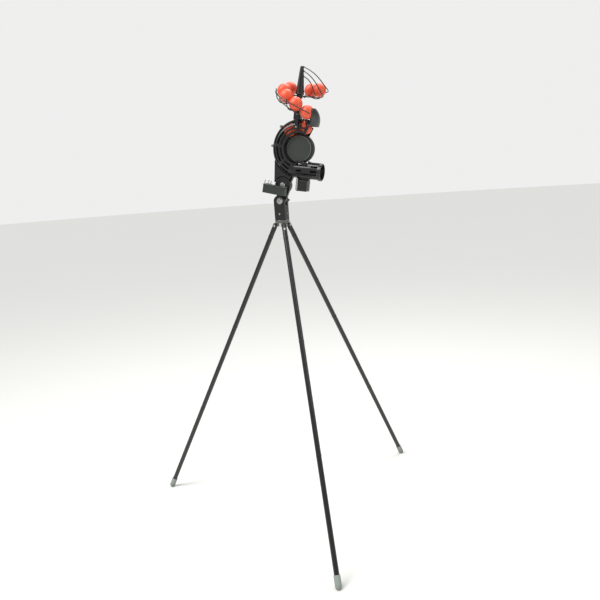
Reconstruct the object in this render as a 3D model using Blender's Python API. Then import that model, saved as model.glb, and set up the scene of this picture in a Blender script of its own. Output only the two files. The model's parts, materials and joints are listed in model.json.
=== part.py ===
"""Small one-wheel cricket bowling machine on a three-legged stand, with a wire spiral ball feeder.

Metres, +Z up. The origin is on the ground at the middle of the footprint, +X is the shooting direction and the
viewer stands on the -Y side. The head is built in its own frame, whose origin is the throwing wheel's centre.
"""
import math

import bmesh
import bpy
from mathutils import Matrix, Vector

MM = 0.001
GAP = 0.3                      # what two pieces that seat on each other keep between them

# Driving dimensions, in millimetres and degrees

BALL_R = 21.35                 # small practice ball
BALL_PLAY = 1.15               # room round a ball in the channel and the barrel
WALL = 2.5                     # moulded walls of channel and barrel

APEX_H = 1033.0                # height where the three leg axes would meet
SPLAY = 27.4                   # leg angle from the plumb line
LEG_TUBE_R = 8.0
LEG_WALL = 1.2
LEG_SECTIONS = 3
HINGE_AT = 58.0                # all "AT" values are distances down the leg axis from the apex
FORK_TOP_AT = 50.0
FORK_END_AT = 97.0
TUBE_SHORT = 13.84349           # how far the last tube ends before the foot's centre
FOOT_R = 10.0
FOOT_CENTRE_H = 8.6

PLATE_R = 23.75
PLATE_BELOW_APEX = 33.0
PLATE_T = 10.0
LUG_T = 6.0
PIN_R = 2.5

NECK_W = 36.0
NECK_D = 40.0
NECK_SLOT = 12.0
TILT_BOLT_RISE = 62.0          # from the plate's top up to the lower tilt bolt
TILT_BOLT_X = 4.0              # its place ahead of the pan axis
TILT_BOLT_R = 4.0
CRADLE_TILT = 13.5             # nose-down angle of the cradle and its box
CRADLE_RISE = 50.0             # from the tilt bolt up to the serrated joint
CRADLE_SET_BACK = 4.0          # from the tilt bolt back to the serrated joint
CRADLE_FOOT_R = 13.0
SERRATED_R = 27.0
SERRATIONS = 36
SERRATION_DEPTH = 1.6

BOX_X = (-59.0, 16.5)
BOX_Z = (19.3, 47.3)
BOX_DEPTH = 28.0
BOX_WALL = 2.0
BOX_STAND_OFF = 4.0            # room for the axle's head between cradle and box
LID_T = 3.0

HEAD_TILT = 9.5                # nose-down angle of the head
WHEEL_X = 80.0                 # wheel centre, from the hub axis
WHEEL_RISE = 160.0             # from the lower tilt bolt up to the wheel's centre
WHEEL_R = 45.5
CAP_INSET = 5.5                # from the tyre's edge in to the cap's
WHEEL_W = 26.0
TYRE_T = 10.0
SHAFT_R = 2.5
CHANNEL_IN_R = 48.0            # inner edge of the channel's front wall
CHANNEL_START = 66.0           # where a ball enters, in degrees round the wheel from +X towards +Z
ENTRY_STEPS = 3                # first stretch of the channel, open on top where a ball drops in
CHANNEL_TAIL = 16.0            # last stretch of the curve, which belongs to the barrel
CHANNEL_STEP = 7.5
BARREL_LENGTH = 71.0
BARREL_MOUTH = 24.0            # open top of the barrel under the wheel
MUZZLE_T = 9.0
MOTOR_R = 18.0
MOTOR_LENGTH = 54.0
COLUMN_T = 11.0

POST_X = -18.0                 # feeder axis, from the wheel centre
POST_BASE = 168.0
POST_TOP = 250.0
POST_BASE_R = 13.0
POST_TOP_R = 5.6
SPIGOT_R = 9.5
SPIGOT_LENGTH = 14.0
ROD_R = 6.5
SOCKET_TOP = 116.0
SOCKET_BOTTOM = 92.5
SPIRAL_SHIFT = 6.0             # the spiral's centre, in front of the post
SPIRAL_R = 56.0                # radius of the row of balls round the post
SPIRAL_PITCH = 98.0            # drop of the row in one turn
SPIRAL_LEAN = 18.0             # extra drop of the row towards +X, which makes the back nearly level
SPIRAL_START_Z = 208.5
SPIRAL_FROM = -14.0            # degrees round the post from +X towards +Y
SPIRAL_TO = 288.0
GUARD_TO = 311.0               # the guard rail runs on across the elbow's open front
WIRE_R = 1.6
GUARD_DROP = 4.0               # the guard rail's height below the balls' centres
RAIL_SPREAD = 12.0             # half the distance between the two rails under the balls
LOWEST_BALL = 312.0            # the ball that waits in the elbow
ROW_BALLS = 5                  # balls that rest against each other, up from the lowest
LEVEL_SETTLE = 0.3             # how much deeper a ball sits between the rails where they are level
LOOSE_BALLS = (33.0, 78.3)     # balls that lie apart on the level stretch
CHANNEL_BALLS = (125.0, 81.0)
ELBOW_LIP = 90.0               # height of the elbow's low front lip
ELBOW_RIM = 125.0              # height where the elbow's open top ends
ELBOW_FLOOR = 70.0             # lowest edge of the elbow's outer side
ELBOW_TURN = 20.0              # direction of its front opening, from -Y towards +X
TIES = (56.0, 100.0, 143.0, 184.0, 225.0, 258.0)

BATTERY = (36.0, 36.0, 35.0)   # length, depth and height
BATTERY_X = 1.0
BATTERY_RAIL_T = 4.5

# Sizes that follow from the ones above

PATH_R = WHEEL_R + BALL_R + 0.35
BORE_R = BALL_R + BALL_PLAY
TUBE_MID_R = BORE_R + WALL / 2
CHANNEL_OUT_R = PATH_R + BORE_R + WALL
CHANNEL_END = 270.0 - math.degrees(CHANNEL_TAIL / PATH_R)
FOOT_CIRCLE = (APEX_H - FOOT_CENTRE_H) * math.tan(math.radians(SPLAY))
HUB_X = FOOT_CIRCLE / 4        # puts the origin at the middle of the footprint
FOOT_AT = (APEX_H - FOOT_CENTRE_H) / math.cos(math.radians(SPLAY))
TUBES_END_AT = FOOT_AT - TUBE_SHORT
PLATE_TOP = APEX_H - PLATE_BELOW_APEX
PLATE_BOTTOM = PLATE_TOP - PLATE_T
TILT_BOLT_H = PLATE_TOP + TILT_BOLT_RISE
WHEEL_H = TILT_BOLT_H + WHEEL_RISE
HINGE_R = HINGE_AT * math.sin(math.radians(SPLAY))
HINGE_H = APEX_H - HINGE_AT * math.cos(math.radians(SPLAY))
LEG_AZIMUTHS = (-60.0, 60.0, 180.0)
CHANNEL_FRONT_Y = -(BORE_R + WALL)
BOX_BACK_Y = -(NECK_SLOT / 2 + BOX_STAND_OFF)
BOX_FRONT_Y = BOX_BACK_Y - BOX_DEPTH


def clear_scene():
    for obj in list(bpy.data.objects):
        bpy.data.objects.remove(obj, do_unlink=True)


def material(name, colour, roughness, metallic=0.0):
    mat = bpy.data.materials.new(name)
    mat.use_nodes = True
    shader = mat.node_tree.nodes["Principled BSDF"]
    shader.inputs["Base Color"].default_value = (*colour, 1.0)
    shader.inputs["Roughness"].default_value = roughness
    shader.inputs["Metallic"].default_value = metallic
    mat.diffuse_color = (*colour, 1.0)
    return mat


def empty(name, place, parent=None, turn=(0.0, 0.0, 0.0)):
    obj = bpy.data.objects.new(name, None)
    bpy.context.collection.objects.link(obj)
    obj.parent = parent
    obj.location = Vector(place) * MM
    obj.rotation_euler = [math.radians(a) for a in turn]
    return obj


def finish(name, bm, look, parent=None, place=(0.0, 0.0, 0.0), turn=(0.0, 0.0, 0.0), sharp=35.0):
    """Turns a mesh in millimetres into a named object in metres."""
    bmesh.ops.recalc_face_normals(bm, faces=bm.faces)
    if bm.calc_volume(signed=True) < 0:
        bmesh.ops.reverse_faces(bm, faces=bm.faces)
    bmesh.ops.scale(bm, vec=(MM, MM, MM), verts=bm.verts)
    mesh = bpy.data.meshes.new(name)
    bm.to_mesh(mesh)
    bm.free()
    mesh.materials.append(look)
    mesh.shade_smooth()
    mesh.set_sharp_from_angle(angle=math.radians(sharp))
    obj = bpy.data.objects.new(name, mesh)
    bpy.context.collection.objects.link(obj)
    obj.parent = parent
    obj.location = Vector(place) * MM
    obj.rotation_euler = [math.radians(a) for a in turn]
    return obj


def revolve(profile, sides, axis="Z", closed=True):
    """Turns (radius, height) points round an axis: a ring if closed, else a solid that ends on the axis."""
    bm = bmesh.new()
    rings = []
    for radius, height in profile:
        if radius == 0:
            rings.append([bm.verts.new((0, 0, height))])
            continue
        angles = [2 * math.pi * k / sides for k in range(sides)]
        rings.append([bm.verts.new((radius * math.cos(a), radius * math.sin(a), height)) for a in angles])
    pairs = list(zip(rings, rings[1:]))
    if closed:
        pairs.append((rings[-1], rings[0]))
    for low, high in pairs:
        for k in range(sides):
            n = (k + 1) % sides
            corners = [low[k % len(low)], low[n % len(low)], high[n % len(high)], high[k % len(high)]]
            unique = list(dict.fromkeys(corners))
            if len(unique) > 2:
                bm.faces.new(unique)
    if axis == "Y":
        bmesh.ops.rotate(bm, verts=bm.verts, matrix=Matrix.Rotation(math.radians(90), 3, "X"))
    if axis == "X":
        bmesh.ops.rotate(bm, verts=bm.verts, matrix=Matrix.Rotation(math.radians(90), 3, "Y"))
    return bm


def rod(radius, low, high, sides, axis="Z", chamfer=0.0):
    """Solid round bar between two heights, with an optional chamfer at both ends."""
    if chamfer:
        profile = [(0, low), (radius - chamfer, low), (radius, low + chamfer), (radius, high - chamfer),
                   (radius - chamfer, high), (0, high)]
    else:
        profile = [(0, low), (radius, low), (radius, high), (0, high)]
    return revolve(profile, sides, axis, closed=False)


def moved(bm, offset):
    bmesh.ops.translate(bm, verts=bm.verts, vec=Vector(offset))
    return bm


def block(low, high, bevel=0.0, segments=2, edges="all"):
    """Box between two corners, with its edges rounded. Edges may be limited to those along one axis."""
    bm = bmesh.new()
    bmesh.ops.create_cube(bm, size=1.0)
    for vert in bm.verts:
        vert.co = Vector([lo + (hi - lo) * (c + 0.5) for lo, hi, c in zip(low, high, vert.co)])
    if bevel:
        chosen = list(bm.edges)
        if edges != "all":
            index = "XYZ".index(edges)
            chosen = [e for e in bm.edges if abs((e.verts[0].co - e.verts[1].co)[index]) > 1e-6]
        bmesh.ops.bevel(bm, geom=chosen, offset=bevel, segments=segments, profile=0.5, affect="EDGES")
    return bm


def plate_y(outline, y_low, y_high):
    """Flat piece from an outline of (x, z) points, between two Y values."""
    bm = bmesh.new()
    face = bm.faces.new([bm.verts.new((x, y_low, z)) for x, z in outline])
    out = bmesh.ops.extrude_face_region(bm, geom=[face])
    verts = [v for v in out["geom"] if isinstance(v, bmesh.types.BMVert)]
    bmesh.ops.translate(bm, verts=verts, vec=(0, y_high - y_low, 0))
    return bm


def arc(centre, radius, start, end, count):
    """Points on an arc, angles in degrees."""
    steps = [math.radians(start + (end - start) * k / count) for k in range(count + 1)]
    return [(centre[0] + radius * math.cos(a), centre[1] + radius * math.sin(a)) for a in steps]


def sweep(points, radius, sides):
    """Solid tube of one radius along points, with flat ends."""
    points = [Vector(p) for p in points]
    bm = bmesh.new()
    tangents = []
    for k in range(len(points)):
        after = points[min(k + 1, len(points) - 1)]
        before = points[max(k - 1, 0)]
        tangents.append((after - before).normalized())
    side = tangents[0].orthogonal().normalized()
    rings = []
    for point, tangent in zip(points, tangents):
        side = (side - tangent * side.dot(tangent)).normalized()
        up = tangent.cross(side)
        angles = [2 * math.pi * k / sides for k in range(sides)]
        rings.append([bm.verts.new(point + radius * (side * math.cos(a) + up * math.sin(a))) for a in angles])
    for low, high in zip(rings, rings[1:]):
        for k in range(sides):
            n = (k + 1) % sides
            bm.faces.new((low[k], low[n], high[n], high[k]))
    bm.faces.new(rings[0])
    bm.faces.new(rings[-1])
    return bm


def combine(bm, other, operation):
    """Boolean of two closed meshes, done on throw-away objects with the exact solver."""
    pair = []
    for name, part in (("base_form", bm), ("tool_form", other)):
        bmesh.ops.recalc_face_normals(part, faces=part.faces)
        mesh = bpy.data.meshes.new(name)
        part.to_mesh(mesh)
        part.free()
        obj = bpy.data.objects.new(name, mesh)
        bpy.context.collection.objects.link(obj)
        pair.append(obj)
    base, tool = pair
    modifier = base.modifiers.new("cut", "BOOLEAN")
    modifier.operation = operation
    modifier.object = tool
    modifier.solver = "EXACT"
    graph = bpy.context.evaluated_depsgraph_get()
    result = bmesh.new()
    result.from_object(base, graph)
    for obj in pair:
        mesh = obj.data
        bpy.data.objects.remove(obj, do_unlink=True)
        bpy.data.meshes.remove(mesh)
    bmesh.ops.remove_doubles(result, verts=result.verts, dist=1e-4)
    bmesh.ops.dissolve_degenerate(result, edges=result.edges, dist=1e-4)
    return result


def cut(bm, *tools):
    for tool in tools:
        bm = combine(bm, tool, "DIFFERENCE")
    return bm


def join(bm, *tools):
    for tool in tools:
        bm = combine(bm, tool, "UNION")
    return bm


def shell(stations, section, keep, thickness, ring=False):
    """Thin wall swept through stations. Each station maps a section point (a, b) to space.

    Faces whose place is not kept are left out, which opens slots and windows, and the rest gets its thickness.
    """
    bm = bmesh.new()
    grid = [[bm.verts.new(station(a, b)) for a, b in section] for station in stations]
    count = len(section) if ring else len(section) - 1
    for i in range(len(stations) - 1):
        for j in range(count):
            if keep(i, j):
                n = (j + 1) % len(section)
                bm.faces.new((grid[i][j], grid[i][n], grid[i + 1][n], grid[i + 1][j]))
    loose = [v for v in bm.verts if not v.link_faces]
    bmesh.ops.delete(bm, geom=loose, context="VERTS")
    bmesh.ops.recalc_face_normals(bm, faces=bm.faces)
    mesh = bpy.data.meshes.new("shell_form")
    bm.to_mesh(mesh)
    bm.free()
    obj = bpy.data.objects.new("shell_form", mesh)
    bpy.context.collection.objects.link(obj)
    wall = obj.modifiers.new("wall", "SOLIDIFY")
    wall.thickness = thickness
    wall.offset = 0.0
    wall.use_even_offset = True
    result = bmesh.new()
    result.from_object(obj, bpy.context.evaluated_depsgraph_get())
    bpy.data.objects.remove(obj, do_unlink=True)
    bpy.data.meshes.remove(mesh)
    return result


# Tripod: a round plate with three lugs, and three legs that fold inwards on their pins

def leg_frame(azimuth):
    """From leg coordinates (y along the hinge pin, z up the leg from the apex) to the hub's."""
    turn = Matrix.Rotation(math.radians(azimuth), 4, "Z")
    lean = Matrix.Rotation(math.radians(-SPLAY), 4, "Y")
    return Matrix.Translation((0, 0, APEX_H)) @ turn @ lean


def hub_plate(look, parent):
    bm = rod(PLATE_R, PLATE_BOTTOM, PLATE_TOP, 32, chamfer=1.0)
    for azimuth in LEG_AZIMUTHS:
        reach = 7.0
        outline = [(HINGE_R - 14.0, PLATE_BOTTOM + 4.0), (HINGE_R - 14.0, HINGE_H - 2.0)]
        outline += arc((HINGE_R, HINGE_H), reach, 215, 360, 8)
        outline += [(PLATE_R - 3.0, PLATE_BOTTOM + 4.0)]
        lug = plate_y(outline, -LUG_T / 2, LUG_T / 2)
        hole = moved(rod(PIN_R + GAP, -9, 9, 16, "Y"), (HINGE_R, 0, HINGE_H))
        lug = cut(lug, hole)
        bmesh.ops.rotate(lug, verts=lug.verts, matrix=Matrix.Rotation(math.radians(azimuth), 3, "Z"))
        bm = join(bm, lug)
    bm = cut(bm, rod(TILT_BOLT_R + GAP, PLATE_BOTTOM - 5, PLATE_TOP + 5, 16))
    return finish("hub_plate", bm, look, parent)


def leg(number, azimuth, looks, parent):
    tube_look, ring_look, foot_look = looks
    matrix = leg_frame(azimuth)
    hinge = matrix @ Vector((0, 0, -HINGE_AT))
    pivot = empty(f"leg_hinge_axis_{number}", hinge, parent, (0, 0, azimuth))
    lean = (0, -SPLAY, 0)

    # Fork: round bar, slotted for the hub's lug and drilled for the pin
    top = HINGE_AT - FORK_TOP_AT
    end = HINGE_AT - FORK_END_AT
    profile = [(0, end), (LEG_TUBE_R, end), (LEG_TUBE_R, top - 2.5), (LEG_TUBE_R - 2.5, top), (0, top)]
    fork = revolve(profile, 16, closed=False)
    slot = block((-20, -LUG_T / 2 - GAP, -17), (20, LUG_T / 2 + GAP, top + 5))
    hole = rod(PIN_R + GAP, -12, 12, 16, "Y")
    fork = cut(fork, slot, hole)
    finish(f"leg_fork_{number}", fork, ring_look, pivot, turn=lean)

    # Three equal tube sections, each with a spigot that plugs into the one above
    length = (TUBES_END_AT - FORK_END_AT) / LEG_SECTIONS
    bore = LEG_TUBE_R - LEG_WALL
    names = ("upper", "middle", "lower")
    for k in range(LEG_SECTIONS):
        high = end - GAP - k * length
        low = high - length + GAP
        collar = LEG_TUBE_R + 0.5
        outer = [(LEG_TUBE_R, high - 5.5), (LEG_TUBE_R, low)]
        inner = [(bore, low), (bore, high - 3.0)]
        if k == 0:
            outline = [(bore, high), (collar, high), (collar, high - 5.0)] + outer + [(bore, low)]
        else:
            plug = bore - GAP
            outline = [(plug - 1.2, high + 24.0), (plug, high + 24.0), (plug, high), (collar, high)]
            outline += [(collar, high - 5.0)] + outer + inner + [(plug - 1.2, high - 4.0)]
        finish(f"leg_{names[k]}_tube_{number}", revolve(outline, 14), tube_look, pivot, turn=lean)

    # Foot: a soft cap over the end of the tube, cut flat where it stands on the ground
    stop = HINGE_AT - TUBES_END_AT
    centre = HINGE_AT - FOOT_AT
    sleeve = LEG_TUBE_R + GAP
    profile = [(0, stop - GAP), (sleeve, stop - GAP), (sleeve, stop + 16.0), (FOOT_R - 0.6, stop + 16.0)]
    profile += [(FOOT_R, stop + 14.0)] + arc((0, centre), FOOT_R, 0, -67.5, 3)
    profile += [(0, centre - FOOT_R)]
    foot = revolve(profile, 16, closed=False)
    down = Matrix.Rotation(math.radians(SPLAY), 3, "Y") @ Vector((0, 0, -1))
    ground = Vector((0, 0, centre)) + down * FOOT_CENTRE_H
    whole = foot.verts[:] + foot.edges[:] + foot.faces[:]
    cut_out = bmesh.ops.bisect_plane(foot, geom=whole, plane_co=ground, plane_no=down, clear_outer=True)
    rim = [g for g in cut_out["geom_cut"] if isinstance(g, bmesh.types.BMEdge)]
    bmesh.ops.holes_fill(foot, edges=rim)
    finish(f"leg_foot_{number}", foot, foot_look, pivot, turn=lean)


def hinge_pins(look, parent):
    head = LEG_TUBE_R + GAP
    profile = [(0, -head - 1.5), (4.0, -head - 1.5), (4.0, -head), (PIN_R, -head), (PIN_R, head),
               (4.0, head), (4.0, head + 1.5), (0, head + 1.5)]
    for number, azimuth in enumerate(LEG_AZIMUTHS, 1):
        pin = revolve(profile, 16, "Y", closed=False)
        moved(pin, (HINGE_R, 0, HINGE_H))
        finish(f"leg_hinge_pin_{number}", pin, look, parent, turn=(0, 0, azimuth))


# Neck: the block that pans on the plate and holds the lower tilt bolt

def neck(looks, parent):
    body_look, steel_look = looks
    pan = empty("pan_axis", (0, 0, PLATE_TOP), parent)
    rise = TILT_BOLT_H - PLATE_TOP
    outline = [(-NECK_W / 2, GAP), (NECK_W / 2, GAP)] + arc((0, rise), NECK_W / 2, 0, 180, 14)
    bm = plate_y(outline, -NECK_D / 2, NECK_D / 2)
    corners = [e for e in bm.edges if abs(e.verts[0].co.x - e.verts[1].co.x) < 1e-6
               and abs(e.verts[0].co.y - e.verts[1].co.y) < 1e-6 and e.calc_length() > 30]
    bmesh.ops.bevel(bm, geom=corners, offset=2.0, segments=2, profile=0.5, affect="EDGES")
    slot = block((-40, -NECK_SLOT / 2, rise - CRADLE_FOOT_R - 2.0), (40, NECK_SLOT / 2, rise + 40))
    cross = moved(rod(TILT_BOLT_R + GAP, -40, 40, 16, "Y"), (TILT_BOLT_X, 0, rise))
    pan_bore = rod(TILT_BOLT_R + GAP, -5, 30, 16)
    lock_bore = moved(rod(2.0, -NECK_D, -TILT_BOLT_R - 2.5, 12, "Y"), (0, 0, 20.0))
    bm = cut(bm, slot, cross, pan_bore, lock_bore)
    finish("neck_block", bm, body_look, pan)

    # Pan bolt, from below the plate into the neck
    reach = 28.0
    head = -PLATE_T - GAP
    profile = [(0, head - 5.5), (7.0, head - 5.5), (7.0, head)]
    profile += [(TILT_BOLT_R, head), (TILT_BOLT_R, reach), (0, reach)]
    seat = empty("pan_bolt_seat", (0, 0, PLATE_TOP), parent)
    finish("pan_bolt", revolve(profile, 16, closed=False), steel_look, seat)

    front = -NECK_D / 2 - GAP

    # Lower tilt bolt with a round socket head, a washer, and a lobed hand knob behind
    tilt = empty("tilt_bolt_axis", (TILT_BOLT_X, 0, rise), pan)
    washer_t = 1.6
    washer_bore = TILT_BOLT_R + GAP
    washer = [(washer_bore, -front), (10.4, -front),
              (10.4, -front + washer_t), (washer_bore, -front + washer_t)]
    finish("tilt_washer", revolve(washer, 24, "Y"), steel_look, tilt)
    seat = -front + washer_t + GAP
    back = -NECK_D / 2 - 20.0
    profile = [(0, back), (TILT_BOLT_R, back), (TILT_BOLT_R, seat), (8.6, seat)]
    profile += [(8.6, seat + 2.2), (6.8, seat + 4.0), (0, seat + 4.0)]
    bolt = revolve(profile, 24, "Y", closed=False)
    socket = rod(3.4, seat + 1.0, seat + 8.0, 6, "Y")
    finish("tilt_bolt", cut(bolt, socket), steel_look, tilt)
    lobes = 6
    outline = []
    for k in range(lobes * 8):
        a = 2 * math.pi * k / (lobes * 8)
        radius = 13.0 + 2.0 * math.cos(lobes * a)
        outline.append((radius * math.cos(a), radius * math.sin(a)))
    low = NECK_D / 2 + GAP
    knob = plate_y(outline, low + 3.0, low + 14.0)
    knob = join(knob, rod(8.0, -low - 5.0, -low, 20, "Y"))
    knob = cut(knob, rod(TILT_BOLT_R + GAP, -low - 40, -low + 10, 16, "Y"))
    finish("tilt_knob", knob, body_look, tilt)
    return tilt


# Cradle: the serrated bracket on the tilt bolt, and the control box on its front

def serrated_outline(centre, start, end):
    """Outline of the joint's toothed rim between two angles."""
    step = 180.0 / SERRATIONS
    count = round((end - start) / step)
    points = []
    for k in range(count + 1):
        radius = SERRATED_R - (SERRATION_DEPTH if k % 2 else 0.0)
        a = math.radians(start + k * step)
        points.append((centre[0] + radius * math.cos(a), centre[1] + radius * math.sin(a)))
    return points


def cradle(looks, tilt):
    body_look, lid_look, steel_look, board_look, switch_look, dial_look = looks
    frame = empty("cradle_frame", (0, 0, 0), tilt, (0, CRADLE_TILT, 0))
    half = NECK_SLOT / 2 - GAP
    flare = math.degrees(math.asin((SERRATED_R - CRADLE_FOOT_R) / CRADLE_RISE))
    joint = (-CRADLE_SET_BACK, CRADLE_RISE)
    outline = serrated_outline(joint, -15, 195)
    outline += arc((0, 0), CRADLE_FOOT_R, 180 + flare, 360 - flare, 12)
    bm = plate_y(outline, -half, half)
    dish = moved(rod(20.0, half - 1.6, half + 5.0, 32, "Y"), (joint[0], 0, joint[1]))
    axle_hole = moved(rod(TILT_BOLT_R + GAP, -30, 30, 16, "Y"), (joint[0], 0, joint[1]))
    bolt_hole = rod(TILT_BOLT_R + GAP, -30, 30, 16, "Y")
    standoffs = [moved(rod(3.0, half - 1.0, -BOX_BACK_Y - GAP, 12, "Y"), (x, 0, 30.0)) for x in (-9.0, 9.0)]
    bm = join(cut(bm, dish, axle_hole, bolt_hole), *standoffs)
    finish("cradle_bracket", bm, body_look, frame)

    # Box tray and lid, with a board and a speed dial
    x0, x1 = BOX_X
    z0, z1 = BOX_Z
    lid_bottom = z1 - LID_T
    tray = block((x0, BOX_FRONT_Y, z0), (x1, BOX_BACK_Y, lid_bottom - GAP), 2.5, 2, "Z")
    hollow_low = (x0 + BOX_WALL, BOX_FRONT_Y + BOX_WALL, z0 + BOX_WALL)
    hollow = block(hollow_low, (x1 - BOX_WALL, BOX_BACK_Y - BOX_WALL, z1 + 5), 1.0, 1, "Z")
    dial_x = (x0 + x1) / 2 - 20.0
    dial_z = (z0 + lid_bottom) / 2
    dial_low = (dial_x - 3.3, BOX_BACK_Y - 8, dial_z - 3.3)
    dial_hole = block(dial_low, (dial_x + 3.3, BOX_BACK_Y + 8, dial_z + 3.3))
    tray = cut(tray, hollow, dial_hole)
    finish("box_tray", tray, body_look, frame)
    lid = block((x0 - 0.8, BOX_FRONT_Y - 0.8, lid_bottom), (x1 + 0.8, BOX_BACK_Y, z1), 1.2, 2)
    toggle_x = -39.5
    toggle_y = (BOX_FRONT_Y + BOX_BACK_Y) / 2
    toggle_hole = moved(rod(3.0 + GAP, lid_bottom - 5, z1 + 5, 12), (toggle_x, toggle_y, 0))
    screw_places = [(x, y) for x in (x0 + 5.0, x1 - 5.0) for y in (BOX_FRONT_Y + 5.0, BOX_BACK_Y - 5.0)]
    screw_holes = [moved(rod(1.5, lid_bottom - 5, z1 + 5, 8), (x, y, 0)) for x, y in screw_places]
    finish("box_lid", cut(lid, toggle_hole, *screw_holes), lid_look, frame)
    board_low = z0 + BOX_WALL + GAP
    board = block((x0 + 5, BOX_FRONT_Y + 5, board_low), (x1 - 5, BOX_BACK_Y - 5, board_low + 1.6))
    chip = block((-40, BOX_FRONT_Y + 9, board_low + 1.0), (-26, BOX_BACK_Y - 9, board_low + 4.0))
    finish("circuit_board", join(board, chip), board_look, frame)

    # Power switch: a collar in the lid and a lever that tips both ways
    collar = [(2.0, z1 - 5.0), (3.0, z1 - 5.0), (3.0, z1 + 3.0), (2.0, z1 + 3.0)]
    finish("switch_collar", moved(revolve(collar, 12), (toggle_x, toggle_y, 0)), steel_look, frame)
    lever_axis = empty("switch_axis", (toggle_x, toggle_y, z1), frame)
    lever = [(0, -4.0), (1.1, -4.0), (1.1, 3.0), (1.7, 10.0), (1.2, 11.6), (0, 12.0)]
    finish("switch_lever", revolve(lever, 10, closed=False), switch_look, lever_axis, turn=(0, 12, 0))

    # Speed dial on the back of the box
    dial_axis = empty("dial_axis", (dial_x, BOX_BACK_Y, dial_z), frame)
    dial = [(0, 6.0), (2.6, 6.0), (2.6, -GAP), (9.0, -GAP), (9.0, -8.0), (7.8, -9.5), (0, -9.5)]
    finish("speed_dial", revolve(dial, 24, "Y", closed=False), dial_look, dial_axis)

    # Wire loop on the lid
    loop_x = -53.0
    path = [(loop_x - 6.0, z1 + GAP), (loop_x - 6.0, z1 + 8.0)]
    path += arc((loop_x - 1.0, z1 + 8.0), 5.0, 180, 90, 4)[1:]
    path += [(loop_x + 5.0, z1 + 13.0)] + arc((loop_x + 5.0, z1 + 11.0), 2.0, 90, 0, 3)[1:]
    path += [(loop_x + 7.0, z1 + GAP)]
    wire = sweep([(x, toggle_y, z) for x, z in path], 1.4, 8)
    finish("lid_loop", wire, steel_look, frame)
    return frame


# Upper joint: the axle, the clamp lever and the column that carries the head

def upper_joint(looks, frame, head, wheel_in_head):
    body_look, steel_look = looks
    half = NECK_SLOT / 2 - GAP
    disc_y = half + GAP
    column_back = disc_y + COLUMN_T
    axle_axis = empty("serrated_joint_axis", (-CRADLE_SET_BACK, 0, CRADLE_RISE), frame)
    head_end = -(half - 1.6) - GAP
    profile = [(0, -head_end + 4.0), (7.5, -head_end + 4.0), (9.0, -head_end + 2.6), (9.0, -head_end)]
    profile += [(TILT_BOLT_R, -head_end), (TILT_BOLT_R, -column_back - 12.0), (0, -column_back - 12.0)]
    finish("joint_axle", revolve(profile, 20, "Y", closed=False), steel_look, axle_axis)

    # Clamp lever behind the column
    lever_axis = empty("clamp_lever_axis", (-CRADLE_SET_BACK, 0, CRADLE_RISE), frame)
    low = column_back + GAP
    hub = rod(9.0, -low - 9.0, -low, 20, "Y", chamfer=1.0)
    angle = math.radians(135.0)
    reach = 41.0
    tip = (reach * math.cos(angle), low + 7.0, reach * math.sin(angle))
    arm = sweep([(0, low + 5.0, 0), tip], 3.0, 10)
    knob = moved(revolve([(0, -5.0), (4.2, -4.0), (5.5, 0), (4.2, 4.0), (0, 5.0)], 14, closed=False), tip)
    hub = cut(join(hub, arm, knob), rod(TILT_BOLT_R + GAP, -low - 20, -low + 5, 16, "Y"))
    finish("clamp_lever", hub, steel_look, lever_axis)

    # Column: toothed disc below, saddle for the channel above, with a front web
    cx, cz = -wheel_in_head[0], -wheel_in_head[2]
    saddle = CHANNEL_OUT_R + GAP
    outline = [(x, z) for x, z in arc((0, 0), saddle, 258, 205, 14)]
    left = serrated_outline((cx, cz), 150, 360 + 25)
    bm = plate_y(outline + left, disc_y, column_back)
    clear = SERRATED_R + 2.0
    web = arc((0, 0), saddle, 255, 208, 14)
    web += arc((cx, cz), clear, 165, 45, 10)
    web_plate = plate_y(web, -9.0, disc_y + 2.0)
    bm = join(bm, web_plate)
    bm = cut(bm, moved(rod(TILT_BOLT_R + GAP, -60, 60, 16, "Y"), (cx, 0, cz)))
    finish("column", bm, body_look, head)


# Channel: the C-shaped guide that carries a ball round the wheel, slotted in front

def channel_section():
    """Mid-line of the wall from the parting line outwards to the inner edge, with the places of its slots."""
    quarter = TUBE_MID_R * math.pi / 2
    marks = (0.0, 4.0, 8.0, 14.0, 19.5, 25.5, 31.0, quarter, 43.0, 49.0)
    points = []
    for s in marks:
        if s <= quarter:
            a = s / TUBE_MID_R
            points.append((PATH_R + TUBE_MID_R * math.cos(a), TUBE_MID_R * math.sin(a)))
        else:
            points.append((PATH_R - (s - quarter), TUBE_MID_R))
    points.append((CHANNEL_IN_R, TUBE_MID_R))
    slots = (2, 4, 6, 8)
    return points, slots


def around(angle, side):
    """Station of the channel at an angle in degrees: section (radius, depth) to head coordinates."""
    a = math.radians(angle)
    return lambda radius, depth: Vector((radius * math.cos(a), side * (depth + GAP), radius * math.sin(a)))


def channel_steps():
    return round((CHANNEL_END - CHANNEL_START) / CHANNEL_STEP)


def boss_places():
    return [(CHANNEL_OUT_R + 2.6, angle) for angle in (138.0, 179.0)]


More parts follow.
